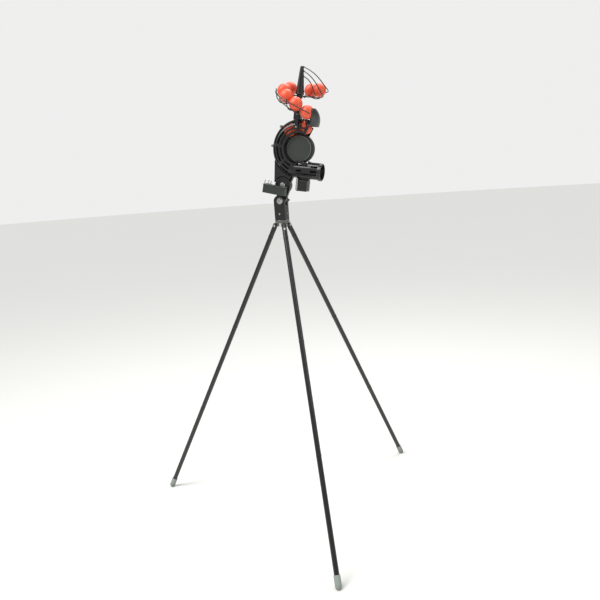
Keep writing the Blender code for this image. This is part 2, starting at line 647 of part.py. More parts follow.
def channel(looks, head):
    front_look, back_look = looks
    steps = channel_steps()
    angles = [CHANNEL_START + (CHANNEL_END - CHANNEL_START) * k / steps for k in range(steps + 1)]
    section, slots = channel_section()
    ribs = [0, ENTRY_STEPS, steps - 1]
    ribs += [round((angle - CHANNEL_START) / CHANNEL_STEP) for angle in (168.0, 217.0)]

    def keep_front(i, j):
        if i < ENTRY_STEPS and j < 6:
            return False
        return j not in slots or i in ribs

    def keep_back(i, j):
        return i >= ENTRY_STEPS or j > 2

    front = shell([around(a, -1) for a in angles], section, keep_front, WALL)
    back_section = section[0:8:2] + [section[7], (CHANNEL_IN_R - 2.0, TUBE_MID_R)]
    back = shell([around(a, 1) for a in angles], back_section, keep_back, WALL)
    plate_low = TUBE_MID_R - WALL / 2 + GAP
    outline = arc((0, 0), CHANNEL_IN_R + 3.0, CHANNEL_START + 2.0, CHANNEL_END - 2.0, 30)
    outline += arc((0, 0), MOTOR_R + 6.0, -70, 50, 10)
    back = join(back, plate_y(outline, plate_low, plate_low + WALL))
    for radius, angle in boss_places():
        a = math.radians(angle)
        place = (radius * math.cos(a), 0, radius * math.sin(a))
        front = join(front, moved(rod(4.0, GAP / 2, 7.0, 12, "Y"), place))
        back = join(back, moved(rod(4.0, -7.0, -GAP / 2, 12, "Y"), place))
        front = cut(front, moved(rod(1.9, -20, 20, 10, "Y"), place))
        back = cut(back, moved(rod(1.9, -20, 20, 10, "Y"), place))
    shaft_hole = rod(7.0, -60, 0, 20, "Y")
    gate_a = math.radians(sum(CHANNEL_BALLS) / 2)
    gate = (PATH_R * math.cos(gate_a), 0, PATH_R * math.sin(gate_a))
    gate_hole = moved(rod(2.0 + GAP, -60, 0, 12, "Y"), gate)
    back = cut(back, shaft_hole, gate_hole)
    finish("channel_front", front, front_look, head)
    finish("channel_back", back, back_look, head)
    return gate


def barrel(look, head):
    """Ribbed tube that takes over from the channel, open under the wheel, with long windows in front."""
    count = 40
    section = []
    for k in range(count):
        a = 360.0 * k / count
        rib = 1.3 if a in (36.0, 63.0, 72.0, 108.0, 117.0, 144.0, 216.0, 252.0, 288.0, 324.0) else 0.0
        radius = TUBE_MID_R + rib
        section.append((radius * math.sin(math.radians(a)), radius * math.cos(math.radians(a))))
    xs = [GAP - CHANNEL_TAIL, -10.0, -2.0, 7.0, 16.0, BARREL_MOUTH, 28.0, 46.0, 68.0, BARREL_LENGTH]
    low_window = range(12, 13)
    mid_window = range(9, 11)
    high_window = range(5, 7)

    def place(x):
        a = min(x, 0.0) / PATH_R
        ahead = max(x, 0.0)
        return lambda side, up: Vector((ahead + (PATH_R - up) * math.sin(a), -side,
                                        (up - PATH_R) * math.cos(a)))

    def keep(i, j):
        x0, x1 = xs[i], xs[i + 1]
        if x1 <= BARREL_MOUTH and (j <= 4 or j >= count - 5):
            return False
        if j in mid_window and (-2.0 <= x0 < 16.0 or 46.0 <= x0 < 68.0):
            return False
        if j in high_window and 46.0 <= x0 < 68.0:
            return False
        return not (j in low_window and -2.0 <= x0 < 68.0)

    bm = shell([place(x) for x in xs], section, keep, WALL, ring=True)
    top = -PATH_R + TUBE_MID_R + WALL / 2
    fin_front = CHANNEL_FRONT_Y + 3.0
    fin_back = -WHEEL_W / 2 - 4.0
    for x in (-8.0, 5.0):
        lean = 7.0
        outline = [(x, top - 12.0), (x + 2.6, top - 12.0), (x + 2.6 + lean, top + 5.0), (x + lean, top + 5.0)]
        bm = join(bm, plate_y(outline, fin_front, fin_back))
    guard = block((13.0, fin_front, top - 9.0), (31.0, fin_back, top + 2.5), 0.8, 1)
    ridge = [(BARREL_MOUTH + 8.0, top - 2.0), (BARREL_LENGTH, top - 2.0), (BARREL_LENGTH, top + 3.0),
             (BARREL_MOUTH + 14.0, top + 3.0), (BARREL_MOUTH + 8.0, top + 6.0)]
    bm = join(bm, guard, plate_y(ridge, -9.0, 9.0))
    end = BARREL_LENGTH
    ring = [(BORE_R, end - 2.0), (BORE_R + WALL + 1.6, end - 2.0), (BORE_R + WALL + 2.6, end + 2.0),
            (BORE_R + WALL + 2.6, end + MUZZLE_T - 1.0), (BORE_R + WALL + 1.6, end + MUZZLE_T),
            (BORE_R + 1.2, end + MUZZLE_T)]
    bm = join(bm, moved(revolve(ring, 36, "X"), (0, 0, -PATH_R)))

    # Rail under the barrel that carries the battery
    x0, x1 = BATTERY_X, BATTERY_X + BATTERY[0]
    depth = 0.5 * BATTERY[1]
    barrel_low = -PATH_R - TUBE_MID_R - WALL / 2
    rail_low = barrel_low - BATTERY_RAIL_T
    saddle = block((x0 - 2.0, -depth / 2, rail_low), (x1 + 2.0, depth / 2, barrel_low + 3.0), 1.0, 1)
    groove = moved(rod(BORE_R + WALL / 2, x0 - 10.0, x1 + 10.0, 40, "X"), (0, 0, -PATH_R))
    ledge = block((x0 - 1.5, -depth, rail_low + 0.4), (x0 + 7.5, depth, barrel_low - 0.6))
    bm = join(bm, join(cut(saddle, groove), ledge))
    finish("barrel", bm, look, head)


# Throwing wheel, motor and feed gate

def wheel_and_motor(looks, head, gate):
    tyre_look, hub_look, cap_look, motor_look, steel_look = looks
    spin = empty("wheel_spin_axis", (0, 0, 0), head)
    half = WHEEL_W / 2
    rim = WHEEL_R - TYRE_T
    tyre = [(rim + GAP, -half + 1.0), (WHEEL_R - 3.0, -half), (WHEEL_R - 0.4, -half + 2.5), (WHEEL_R, 0),
            (WHEEL_R - 0.4, half - 2.5), (WHEEL_R - 3.0, half), (rim + GAP, half - 1.0)]
    finish("wheel_tyre", revolve(tyre, 36, "Y"), tyre_look, spin)
    bore = SHAFT_R + GAP
    hub = [(bore, -9.0), (8.0, -9.0), (8.0, -2.5), (rim - 4.0, -2.5), (rim - 4.0, -half + 1.0),
           (rim, -half + 1.0), (rim, half - 1.0), (rim - 4.0, half - 1.0), (rim - 4.0, 2.5), (8.0, 2.5),
           (8.0, 9.0), (bore, 9.0)]
    finish("wheel_hub", revolve(hub, 28, "Y"), hub_look, spin)
    cap_low = half - 1.0 + GAP
    cap_r = WHEEL_R - CAP_INSET
    cap = [(0, cap_low), (rim, cap_low), (cap_r, cap_low + 1.0), (cap_r, cap_low + 1.8),
           (cap_r - 2.5, cap_low + 3.4), (cap_r - 6.0, cap_low + 3.4), (cap_r - 7.0, cap_low + 2.8),
           (0, cap_low + 3.6)]
    finish("wheel_cap", revolve(cap, 36, "Y", closed=False), cap_look, spin)
    back_y = TUBE_MID_R + WALL / 2 + GAP
    shaft_end = 9.0 + 2.0
    finish("motor_shaft", rod(SHAFT_R, -back_y - 1.0, shaft_end, 16, "Y"), steel_look, spin)
    low = back_y + GAP
    end = -low - MOTOR_LENGTH
    profile = [(0, -low - 2.0), (SHAFT_R + 0.4, -low - 2.0), (SHAFT_R + 0.4, -low + 6.0), (6.5, -low + 6.0),
               (6.5, -low), (MOTOR_R - 1.0, -low), (MOTOR_R, -low - 1.0), (MOTOR_R, end + 2.0),
               (MOTOR_R - 2.0, end), (5.0, end), (5.0, end - 3.0), (0, end - 3.0)]
    finish("motor", revolve(profile, 24, "Y", closed=False), motor_look, head)

    # Feed gate: a solenoid behind the channel holds a pin between the two waiting balls
    solenoid = block((gate[0] - 11, low, gate[2] - 9), (gate[0] + 11, low + 26, gate[2] + 9), 1.5, 2)
    solenoid = cut(solenoid, moved(rod(2.0 + GAP, -80, 0, 12, "Y"), gate))
    finish("gate_solenoid", solenoid, motor_look, head)
    pin_axis = empty("gate_pin_axis", gate, head)
    back = -low - 26.0
    pin = [(0, back - 8.0), (4.0, back - 8.0), (4.0, back - 1.0), (2.0, back - 1.0), (2.0, -9.0),
           (1.2, -8.0), (0, -8.0)]
    finish("gate_pin", revolve(pin, 12, "Y", closed=False), steel_look, pin_axis)


# Feeder: tapered post with a wire spiral, and the elbow that turns the last ball down into the channel

def spiral(angle, spread=0.0, drop=0.0):
    """Point of the row of balls, or of a rail beside it, at an angle in degrees round the post.

    The drop is square to the row, so it grows where the row is steep.
    """
    a = math.radians(angle)
    steepness = (SPIRAL_PITCH / (2 * math.pi) - SPIRAL_LEAN * math.sin(a)) / SPIRAL_R
    z = SPIRAL_START_Z - SPIRAL_PITCH * angle / 360.0 - SPIRAL_LEAN * math.cos(a)
    radius = SPIRAL_R + spread
    x = POST_X + SPIRAL_SHIFT + radius * math.cos(a)
    return Vector((x, radius * math.sin(a), z - drop * math.hypot(1.0, steepness)))


def lead_in(rail_start, height):
    """Curve from the top of the post out to where a rail starts."""
    taper = (POST_BASE_R - POST_TOP_R) / (POST_TOP - POST_BASE)
    start = Vector((POST_X + POST_TOP_R + taper * (POST_TOP - height) + 3 * GAP, 0, height))
    middle = (start + rail_start) / 2 + Vector((10.0, 0, 12.0))
    points = []
    for k in range(9):
        t = k / 9
        points.append(start * (1 - t) ** 2 + middle * 2 * t * (1 - t) + rail_start * t ** 2)
    return points


def feeder(looks, head):
    post_look, wire_look, socket_look = looks
    lift = empty("feeder_axis", (0, 0, 0), head)
    # Post, spigot and rod in one turning
    low = SOCKET_BOTTOM + GAP + 2.0
    spigot_low = POST_BASE - SPIGOT_LENGTH
    flange_r = POST_BASE_R + 0.8
    profile = [(0, low), (ROD_R, low), (ROD_R, spigot_low), (SPIGOT_R, spigot_low), (SPIGOT_R, POST_BASE - 3.0),
               (flange_r, POST_BASE - 3.0), (flange_r, POST_BASE), (POST_BASE_R, POST_BASE + 0.6),
               (POST_TOP_R, POST_TOP - 3.0), (POST_TOP_R - 1.6, POST_TOP), (0, POST_TOP + 0.6)]
    finish("feeder_post", moved(revolve(profile, 20, closed=False), (POST_X, 0, 0)), post_look, lift)

    rail_drop = math.sqrt((BALL_R + WIRE_R + 2 * GAP) ** 2 - RAIL_SPREAD ** 2)
    guard_out = BALL_R + WIRE_R + GAP + 3.0
    count = 34
    angles = [SPIRAL_FROM + (SPIRAL_TO - SPIRAL_FROM) * k / count for k in range(count + 1)]
    forms = {"guard_rail": (guard_out, GUARD_DROP, POST_TOP - 2.0),
             "outer_rail": (RAIL_SPREAD, rail_drop, POST_TOP - 14.0),
             "inner_rail": (-RAIL_SPREAD, rail_drop, POST_TOP - 30.0)}
    frame = None
    for name, (spread, drop, top) in forms.items():
        rail = [spiral(a, spread, drop) for a in angles]
        if name == "guard_rail":
            rail += [spiral(SPIRAL_TO + (GUARD_TO - SPIRAL_TO) * k / 2, spread, drop) for k in (1, 2)]
        path = lead_in(rail[0], top) + rail
        gaps = [(path[i] - path[j]).length for i in range(len(path)) for j in range(i + 12, len(path))]
        print(f"{name}: least gap to itself {min(gaps) - 2 * WIRE_R:.1f} mm")
        form = sweep(path, WIRE_R, 6)
        frame = join(frame, form) if frame else form

    # Ties: bent wires welded under the rails, which hold them apart
    weld = 2 * WIRE_R - 0.7
    for angle in TIES:
        under = [spiral(angle, guard_out + weld, -2.0),
                 spiral(angle, guard_out + weld - 1.0, rail_drop * 0.5),
                 spiral(angle, RAIL_SPREAD + 4.0, rail_drop + weld - 0.6),
                 spiral(angle, 0.0, rail_drop + weld + 2.4),
                 spiral(angle, -RAIL_SPREAD - 3.0, rail_drop + weld - 0.4)]
        frame = join(frame, sweep(under, WIRE_R, 6))
    finish("wire_spiral", frame, wire_look, lift, sharp=60)

    # Socket on the channel's crown, with a tab down its front
    saddle = CHANNEL_OUT_R + GAP
    left, right = POST_X - 11.0, POST_X + 11.0
    start = math.degrees(math.acos(left / saddle))
    end = math.degrees(math.acos(right / saddle))
    outline = arc((0, 0), saddle, start, end, 8) + [(right, SOCKET_TOP), (left, SOCKET_TOP)]
    socket = plate_y(outline, -11.0, 11.0)
    front = CHANNEL_FRONT_Y - GAP / 2 - GAP
    tab = block((POST_X + 1.0, front - 2.5, 57.0), (POST_X + 12.0, front, SOCKET_TOP), 0.8, 1)
    bridge = block((POST_X + 1.0, front - 1.0, SOCKET_TOP - 10.0), (POST_X + 12.0, -9.0, SOCKET_TOP), 0.8, 1)
    socket = join(socket, tab, bridge)
    bore = moved(rod(ROD_R + GAP, SOCKET_BOTTOM + 2.0, SOCKET_TOP + 10, 20), (POST_X, 0, 0))
    finish("feeder_socket", cut(socket, bore), socket_look, head)
    return lift


def elbow(look, head):
    """Rounded chute that catches a ball at the spiral's end and drops it into the channel."""
    lowest = spiral(LOWEST_BALL) + Vector((0, 0, BALL_PLAY + 0.2))
    centre = [Vector(p) for p in ((9.0, -50.0, 116.0), lowest, (34.0, -25.0, 103.0), (35.0, -12.0, 91.0),
                                  (31.0, -3.0, 79.0), (27.0, 0.0, 66.0))]
    path = []
    for k in range(len(centre) - 1):
        a, b = centre[max(k - 1, 0)], centre[k]
        c, d = centre[k + 1], centre[min(k + 2, len(centre) - 1)]
        for t in (0.0, 0.5):
            square = 2 * a - 5 * b + 4 * c - d
            cube = 3 * b - a - 3 * c + d
            path.append(0.5 * (2 * b + (c - a) * t + square * t ** 2 + cube * t ** 3))
    path.append(centre[-1])
    radius = BALL_R + BALL_PLAY + 1.6
    tube = sweep(path, radius + 1.0, 24)
    inside = sweep([path[0] * 2 - path[1]] + path + [path[-1] * 2 - path[-2]], radius - 1.0, 24)
    tube = cut(tube, inside)
    # The mouth is open towards the balls that roll in, and the front is open down to a low lip
    mouth = block((-60, -120, 40), (12.5, 40, 160))
    window = block((-120, -160, ELBOW_LIP), (23.5, -47.0, 170))
    bmesh.ops.rotate(window, verts=window.verts, matrix=Matrix.Rotation(math.radians(ELBOW_TURN), 3, "Z"))
    roof = block((-60, -120, ELBOW_RIM), (90, 60, 180))
    floor = block((-60, -120, 20), (90, 60, ELBOW_FLOOR))
    entry_end = CHANNEL_START + ENTRY_STEPS * (CHANNEL_END - CHANNEL_START) / channel_steps() - 0.5
    entry_top = PATH_R + (TUBE_MID_R + WALL / 2) * math.cos(31.0 / TUBE_MID_R) + GAP
    wedge = [(0.0, 0.0)] + arc((0, 0), entry_top, CHANNEL_START - 1.0, entry_end, 8)
    wedge += arc((0, 0), CHANNEL_OUT_R - GAP, entry_end, 140, 10)
    envelope = plate_y(wedge, -30, 30)
    inlet = block((-60, -28, 20), (18.5, 60, 93))
    tube = cut(tube, mouth, window, roof, floor, envelope, inlet)
    finish("elbow_chute", tube, look, head)


def next_ball(angle):
    """Angle of the ball that rests against the one at this angle, from above."""
    reach = 2 * BALL_R + GAP / 3
    low, high = angle - 90.0, angle
    for _ in range(40):
        middle = (low + high) / 2
        if (spiral(middle) - spiral(angle)).length > reach:
            low = middle
        else:
            high = middle
    return low


def balls(look, lift, head):
    row = [LOWEST_BALL]
    while len(row) < ROW_BALLS:
        row.append(next_ball(row[-1]))
    angles = sorted(row + list(LOOSE_BALLS))
    places = []
    for k, angle in enumerate(angles, 1):
        settle = LEVEL_SETTLE if angle < 180.0 else 0.0
        places.append((f"feeder_ball_{k}", spiral(angle, 0.0, settle), lift))
    for k, angle in enumerate(CHANNEL_BALLS, 1):
        a = math.radians(angle)
        places.append((f"channel_ball_{k}", (PATH_R * math.cos(a), 0, PATH_R * math.sin(a)), head))
    for name, place, body in places:
        sphere = bmesh.new()
        bmesh.ops.create_uvsphere(sphere, u_segments=16, v_segments=8, radius=BALL_R)
        finish(name, sphere, look, body, place, sharp=80)


# Battery under the barrel

def battery(looks, head):
    case_look, steel_look = looks
    length, depth, height = BATTERY
    x0 = BATTERY_X
    barrel_low = -PATH_R - TUBE_MID_R - WALL / 2
    top = barrel_low - BATTERY_RAIL_T
    slide = empty("battery_axis", (x0, 0, top), head)
    pack = block((0, -depth / 2, -GAP - height), (length, depth / 2, -GAP), 2.5, 2)
    finish("battery_pack", pack, case_look, slide)
    latch_axis = empty("latch_axis", (x0 + 3.0, -depth / 2 - GAP - 1.2, top + 4.0), head)
    strip = block((-3.2, -1.2, -36.0), (3.2, 0.9, 0.9), 0.4, 1)
    finish("battery_latch", strip, steel_look, latch_axis)


def main():
    clear_scene()
    black_paint = material("satin_black_paint", (0.012, 0.012, 0.013), 0.35, 0.2)
    grey_alloy = material("grey_alloy", (0.16, 0.165, 0.17), 0.4, 0.8)
    steel = material("zinc_plated_steel", (0.62, 0.62, 0.6), 0.3, 1.0)
    rubber = material("grey_rubber", (0.34, 0.34, 0.33), 0.8)
    moulding = material("black_moulding", (0.022, 0.024, 0.024), 0.4)
    lid_mould = material("lid_moulding", (0.03, 0.033, 0.032), 0.38)
    board_green = material("circuit_board_green", (0.02, 0.12, 0.05), 0.5)
    tyre = material("wheel_rubber", (0.02, 0.02, 0.02), 0.75)
    cap = material("wheel_cap_moulding", (0.035, 0.037, 0.036), 0.55)
    ball_red = material("orange_red_ball", (0.72, 0.06, 0.025), 0.45)
    chute = material("gloss_black_moulding", (0.015, 0.02, 0.02), 0.12)
    wire = material("black_coated_wire", (0.015, 0.015, 0.016), 0.3)

    hub = empty("hub_axis", (HUB_X, 0, 0))
    hub_plate(grey_alloy, hub)
    hinge_pins(steel, hub)
    for number, azimuth in enumerate(LEG_AZIMUTHS, 1):
        leg(number, azimuth, (black_paint, black_paint, rubber), hub)
    tilt = neck((black_paint, steel), hub)
    frame = cradle((moulding, lid_mould, steel, board_green, steel, moulding), tilt)

    # The head's frame: its origin is the wheel's centre, carried by the serrated joint's axis
    bpy.context.view_layer.update()
    joint = empty("head_tilt_axis", (-CRADLE_SET_BACK, 0, CRADLE_RISE), frame, (0, HEAD_TILT - CRADLE_TILT, 0))
    bpy.context.view_layer.update()
    wheel_world = Vector((HUB_X + WHEEL_X, 0, WHEEL_H)) * MM
    wheel_in_head = (joint.matrix_world.inverted() @ wheel_world) / MM
    head = empty("wheel_centre", wheel_in_head, joint)
    upper_joint((moulding, steel), frame, head, wheel_in_head)
    gate = channel((moulding, moulding), head)
    barrel(moulding, head)
    wheel_and_motor((tyre, moulding, cap, grey_alloy, steel), head, gate)
    lift = feeder((moulding, wire, moulding), head)
    elbow(chute, head)
    balls(ball_red, lift, head)
    battery((moulding, steel), head)


main()
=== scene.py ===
import json
import math
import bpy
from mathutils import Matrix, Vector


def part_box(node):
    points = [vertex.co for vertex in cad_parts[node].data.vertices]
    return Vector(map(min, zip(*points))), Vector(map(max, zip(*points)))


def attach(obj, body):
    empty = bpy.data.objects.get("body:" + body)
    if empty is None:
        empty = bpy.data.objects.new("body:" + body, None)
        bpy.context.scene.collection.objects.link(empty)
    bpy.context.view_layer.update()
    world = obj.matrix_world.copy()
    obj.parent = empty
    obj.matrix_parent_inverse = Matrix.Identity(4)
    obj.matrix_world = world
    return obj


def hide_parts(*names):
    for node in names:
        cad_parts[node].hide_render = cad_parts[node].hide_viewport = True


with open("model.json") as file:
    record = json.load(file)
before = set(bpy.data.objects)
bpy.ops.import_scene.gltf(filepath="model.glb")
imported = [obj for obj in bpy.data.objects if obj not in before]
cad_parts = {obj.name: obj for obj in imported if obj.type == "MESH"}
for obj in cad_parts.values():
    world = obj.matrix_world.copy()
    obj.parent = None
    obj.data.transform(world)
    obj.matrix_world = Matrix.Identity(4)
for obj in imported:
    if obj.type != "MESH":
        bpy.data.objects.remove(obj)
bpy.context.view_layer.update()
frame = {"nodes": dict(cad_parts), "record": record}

from types import SimpleNamespace

import bmesh
import bpy
from bpy.props import FloatProperty, FloatVectorProperty, PointerProperty
from bpy.types import Operator, Panel, PropertyGroup
from mathutils import Matrix, Vector

bl_info = {
    "name": "Bowling Machine Looks",
    "version": (1, 0, 0),
    "blender": (4, 5, 0),
    "location": "View3D > Sidebar > Bowling Machine",
    "description": "Smooth pieces, fasteners and surfaces of a one-wheel bowling machine",
    "category": "Object",
}

NODES = frame["nodes"]
SLOT_OF = {s["node"]: s["material_slot"] for s in frame["record"]["subparts"]}
BODY_OF = {n: b for b, ns in frame["record"]["behaviour"]["bodies"].items() for n in ns}
MM = 0.001

# Frames of the CAD model, in metres. Pieces are modelled in millimetres and brought in by at()

WHEEL_CENTRE = (0.21275, 0.0, 1.222)
HUB = Matrix.Translation((0.13275, 0.0, 0.0))
HEAD = Matrix.Translation(WHEEL_CENTRE) @ Matrix.Rotation(math.radians(9.5), 4, "Y")
CRADLE = Matrix.Translation((0.13675, 0.0, 1.062)) @ Matrix.Rotation(math.radians(13.5), 4, "Y")

FACE_FRONT = Matrix.Rotation(math.radians(90), 4, "X")      # turns +Z to -Y
FACE_BACK = Matrix.Rotation(math.radians(-90), 4, "X")      # turns +Z to +Y
FACE_RIGHT = Matrix.Rotation(math.radians(90), 4, "Y")      # turns +Z to +X
# turns +Z to +Y, and keeps lettering upright for a reader behind the machine
READ_BEHIND = Matrix(((-1, 0, 0, 0), (0, 0, 1, 0), (0, 1, 0, 0), (0, 0, 0, 1)))

# Feeder, as in the part's source, in millimetres and degrees

POST_X = -18.0
POST_TOP, POST_HALF_TOP = 250.0, 5.6
POST_FOOT, POST_HALF_FOOT = 168.0, 13.0
POST_TAPER = (POST_HALF_FOOT - POST_HALF_TOP) / (POST_TOP - POST_FOOT)
ROW_X = POST_X + 6.0
ROW_R = 56.0
ROW_PITCH = 98.0
ROW_LEAN = 18.0
ROW_START_Z = 208.5
ROW_FROM, ROW_TO, GUARD_TO = -14.0, 288.0, 311.0
RAIL_SPREAD = 12.0
RAIL_DROP = 20.26
GUARD_OUT = 26.25
GUARD_DROP = 4.0
TIES = (56.0, 100.0, 143.0, 184.0, 225.0, 258.0)
# each wire's name, distance outside the row, distance under it, height on the post and last angle
WIRES = (
    ("guard", GUARD_OUT, GUARD_DROP, 248.0, GUARD_TO),
    ("outer", RAIL_SPREAD, RAIL_DROP, 236.0, ROW_TO),
    ("inner", -RAIL_SPREAD, RAIL_DROP, 220.0, ROW_TO),
)
LEAD_STEPS = 9      # steps of a wire from the post to the row
ROW_STEPS = 34      # steps of a wire along the row

# Control box, in millimetres in the cradle's frame

LID_TOP = 47.3
DIAL_CENTRE = (-41.25, -10.0, 31.8)
DIAL_START, DIAL_STEP = 135, 30     # degrees
SCALE_RADIUS = 9.6

# Pieces whose edges are rounder than the usual rounding, by how many times
SOFTER = {"neck_block": 2.0, "tilt_knob": 1.8, "box_lid": 1.3, "box_tray": 1.3,
          "clamp_lever": 1.3, "motor_shaft": 0.5, "tilt_washer": 0.6, "switch_collar": 0.5,
          "gate_pin": 0.5, "battery_latch": 0.6}

# Stage, in metres, watts and linear colours

FLOOR_RADIUS = 30.0
# each lamp's name, place, width, power and the point that it faces
LAMPS = (
    ("key", (-1.5, -1.3, 3.1), 1.3, 34.0, (0.2, 0, 1.15)),
    ("top", (0.4, 0.9, 2.9), 1.5, 30.0, (0.2, 0, 1.15)),
    ("side", (2.6, -0.6, 2.2), 1.2, 12.0, (0.2, 0, 1.1)),
)
SUN_STRENGTH, SUN_WIDTH, SUN_AIM = 1.9, 30, (0.35, 0.5, -1.0)
AIR = (0.42, 0.43, 0.44, 1)             # what dull surfaces are lit by
REFLECTED_AIR = (0.5, 0.5, 0.5, 1)      # what glossy surfaces show
BACKDROP = (0.86, 0.86, 0.855, 1)       # what the camera and clear pieces see
CAMERA_PLACE = (0.9118, -2.009, 1.131)
CAMERA_TURN, CAMERA_TIP, CAMERA_ROLL = 20.14, 79.39, -4.0       # degrees
CAMERA_LENS, CAMERA_SENSOR = 39.0, 36.0                         # millimetres


# Colours and sizes that a user would change

def linear(code):
    """Linear colour of an sRGB hex value."""
    parts = [int(code[k:k + 2], 16) / 255 for k in (1, 3, 5)]
    return tuple(c / 12.92 if c <= 0.04045 else ((c + 0.055) / 1.055) ** 2.4 for c in parts)


def colour(label, about, code):
    return FloatVectorProperty(name=label, description=about, subtype="COLOR", size=3,
                               min=0.0, max=1.0, default=linear(code))


def length(label, about, millimetres):
    return FloatProperty(name=label, description=about, subtype="DISTANCE", unit="LENGTH",
                         min=0.0, default=millimetres * MM)


class BowlingColours(PropertyGroup):
    ball: colour("Ball", "Orange-red skin of the practice balls", "#e65a3a")
    paint: colour("Leg paint", "Satin black powder coat on the legs", "#0b0c0c")
    coat: colour("Neck coat", "Fine-grained black coat on the neck block", "#101111")
    moulding: colour("Head moulding", "Black nylon of the channel, barrel and column", "#101211")
    box: colour("Control box", "Dark grey ABS of the control box", "#262b27")
    cap: colour("Wheel cap", "Dull grey-green disc on the wheel", "#2c302b")
    chute: colour("Chute", "Polished black moulding of the elbow", "#0c1514")
    wire: colour("Wire coat", "Black dip coat on the feeder's wires", "#0c0d0d")
    tyre: colour("Tyre", "Ground black rubber of the throwing wheel", "#111110")
    zinc: colour("Zinc plate", "Bright plated steel of screws, bolts and latch", "#b4b7b5")
    plate: colour("Hub plate", "Satin anodised aluminium under the neck", "#70736f")
    motor: colour("Motor can", "Blackened steel of the motor and solenoid", "#1c1e1f")
    foot: colour("Foot rubber", "Soft grey rubber of the foot caps", "#8d958e")
    board: colour("Circuit board", "Green lacquer of the board", "#14532c")
    brass: colour("Brass", "Terminals of the motor", "#b59552")
    marking: colour("Marking", "White ink of the dial's ticks and numbers", "#dcddd8")
    floor: colour("Floor", "Plain pale floor", "#e7e6e2")


class BowlingSizes(PropertyGroup):
    ball_diameter: length("Ball", "Diameter of a practice ball", 42.7)
    seam_height: length("Ball seam", "How far a ball's parting seam stands proud", 0.22)
    wire_diameter: length("Wire", "Diameter of the feeder's coated wires", 3.2)
    edge_round: length("Edge rounding", "Rounding of moulded and machined edges", 0.4)
    screw_head: length("Screw head", "Diameter of the small screws' pan heads", 6.0)
    weld_bead: length("Weld bead", "Radius of the bead where a tie meets a rail", 2.3)
    tick_length: length("Dial tick", "Length of a tick round the speed dial", 1.3)
    digit_height: length("Dial number", "Height of the numbers round the speed dial", 2.4)
    chute_wall_softness: length("Chute softness", "Grain of the chute's softening remesh", 0.8)


# Small tools

def unpick():
    """Deselects everything, because the frame's nodes arrive selected."""
    if bpy.context.object and bpy.context.object.mode != "OBJECT":
        bpy.ops.object.mode_set(mode="OBJECT")
    bpy.ops.object.select_all(action="DESELECT")


def only(obj):
    unpick()
    obj.select_set(True)
    bpy.context.view_layer.objects.active = obj


def pick(obj, kind, test):
    """Selects the points, edges or faces of a piece that pass a test, in edit mode."""
    only(obj)
    bpy.ops.object.mode_set(mode="EDIT")
    bpy.ops.mesh.select_mode(type=kind)
    bpy.ops.mesh.select_all(action="DESELECT")
    mesh = bmesh.from_edit_mesh(obj.data)
    items = {"VERT": mesh.verts, "EDGE": mesh.edges, "FACE": mesh.faces}[kind]
    for item in items:
        item.select_set(bool(test(item)))
    mesh.select_flush_mode()
    bmesh.update_edit_mesh(obj.data)


def modify(obj, kind, **settings):
    """Adds a modifier and applies it."""
    only(obj)
    modifier = obj.modifiers.new(kind.title(), kind)
    for key, value in settings.items():
        setattr(modifier, key, value)
    bpy.ops.object.modifier_apply(modifier=modifier.name)


def cylinder(name, radius, low, high, sides=48):
    """Upright cylinder between two heights."""
    unpick()
    bpy.ops.mesh.primitive_cylinder_add(vertices=sides, radius=radius, depth=high - low,
                                        location=(0, 0, (low + high) / 2))
    bpy.context.object.name = name
    return bpy.context.object


def bar(name, low, high):
    """Box between two corners."""
    unpick()
    middle = [(a + b) / 2 for a, b in zip(low, high)]
    bpy.ops.mesh.primitive_cube_add(size=1.0, location=middle)
    bpy.context.object.name = name
    bpy.context.object.scale = [b - a for a, b in zip(low, high)]
    bpy.ops.object.transform_apply(location=True, rotation=True, scale=True)
    return bpy.context.object


def cut_with(obj, tool):
    modify(obj, "BOOLEAN", operation="DIFFERENCE", solver="EXACT", object=tool)
    bpy.data.objects.remove(tool)


def joined(first, *others):
    only(first)
    for obj in others:
        obj.select_set(True)
    bpy.ops.object.join()
    return first


def round_edges(obj, width, angle=38.0, segments=2):
    modify(obj, "BEVEL", width=width, segments=segments, limit_method="ANGLE",
           angle_limit=math.radians(angle))
    smooth(obj, angle)


def smooth(obj, angle):
    """Shades a piece smooth, but for edges sharper than an angle."""
    only(obj)
    bpy.ops.object.shade_smooth_by_angle(angle=math.radians(angle))


def settle(obj, place, body, slot, look, *nodes):
    """Puts a piece's place into its mesh, gives it its surface, and ties it to its body."""
    obj.data.transform(place @ obj.matrix_world)
    obj.matrix_world = Matrix.Identity(4)
    obj.data.name = obj.name
    obj.data.materials.clear()
    obj.data.materials.append(surface(look))
    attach(obj, body)
    if nodes:
        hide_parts(*nodes)
    return obj


def at(place, x, y, z, turn=Matrix.Identity(4)):
    """Place of a piece modelled in millimetres, in one of the CAD frames."""
    return place @ Matrix.Scale(MM, 4) @ Matrix.Translation((x, y, z)) @ turn


def round_wheel(radius, angle):
    """X and Z of a point round the wheel's axis, in the head's frame."""
    a = math.radians(angle)
    return radius * math.cos(a), radius * math.sin(a)


def stamp(pattern, name, place, body, slot, look):
    """A copy of a piece, with its own mesh, put in its place."""
    obj = bpy.data.objects.new(name, pattern.data.copy())
    bpy.context.scene.collection.objects.link(obj)
    obj.matrix_world = pattern.matrix_world
    return settle(obj, place, body, slot, look)


# Surfaces. Every pattern's scale is one over its real size in metres

def add(tree, kind, inputs=None, **settings):
    """Adds a node, sets its properties, and gives each of its inputs a value or a link."""
    node = tree.nodes.new(kind)
    for key, value in settings.items():
        setattr(node, key, value)
    for key, value in (inputs or {}).items():
        if isinstance(value, bpy.types.NodeSocket):
            tree.links.new(value, node.inputs[key])
        else:
            node.inputs[key].default_value = value
    return node


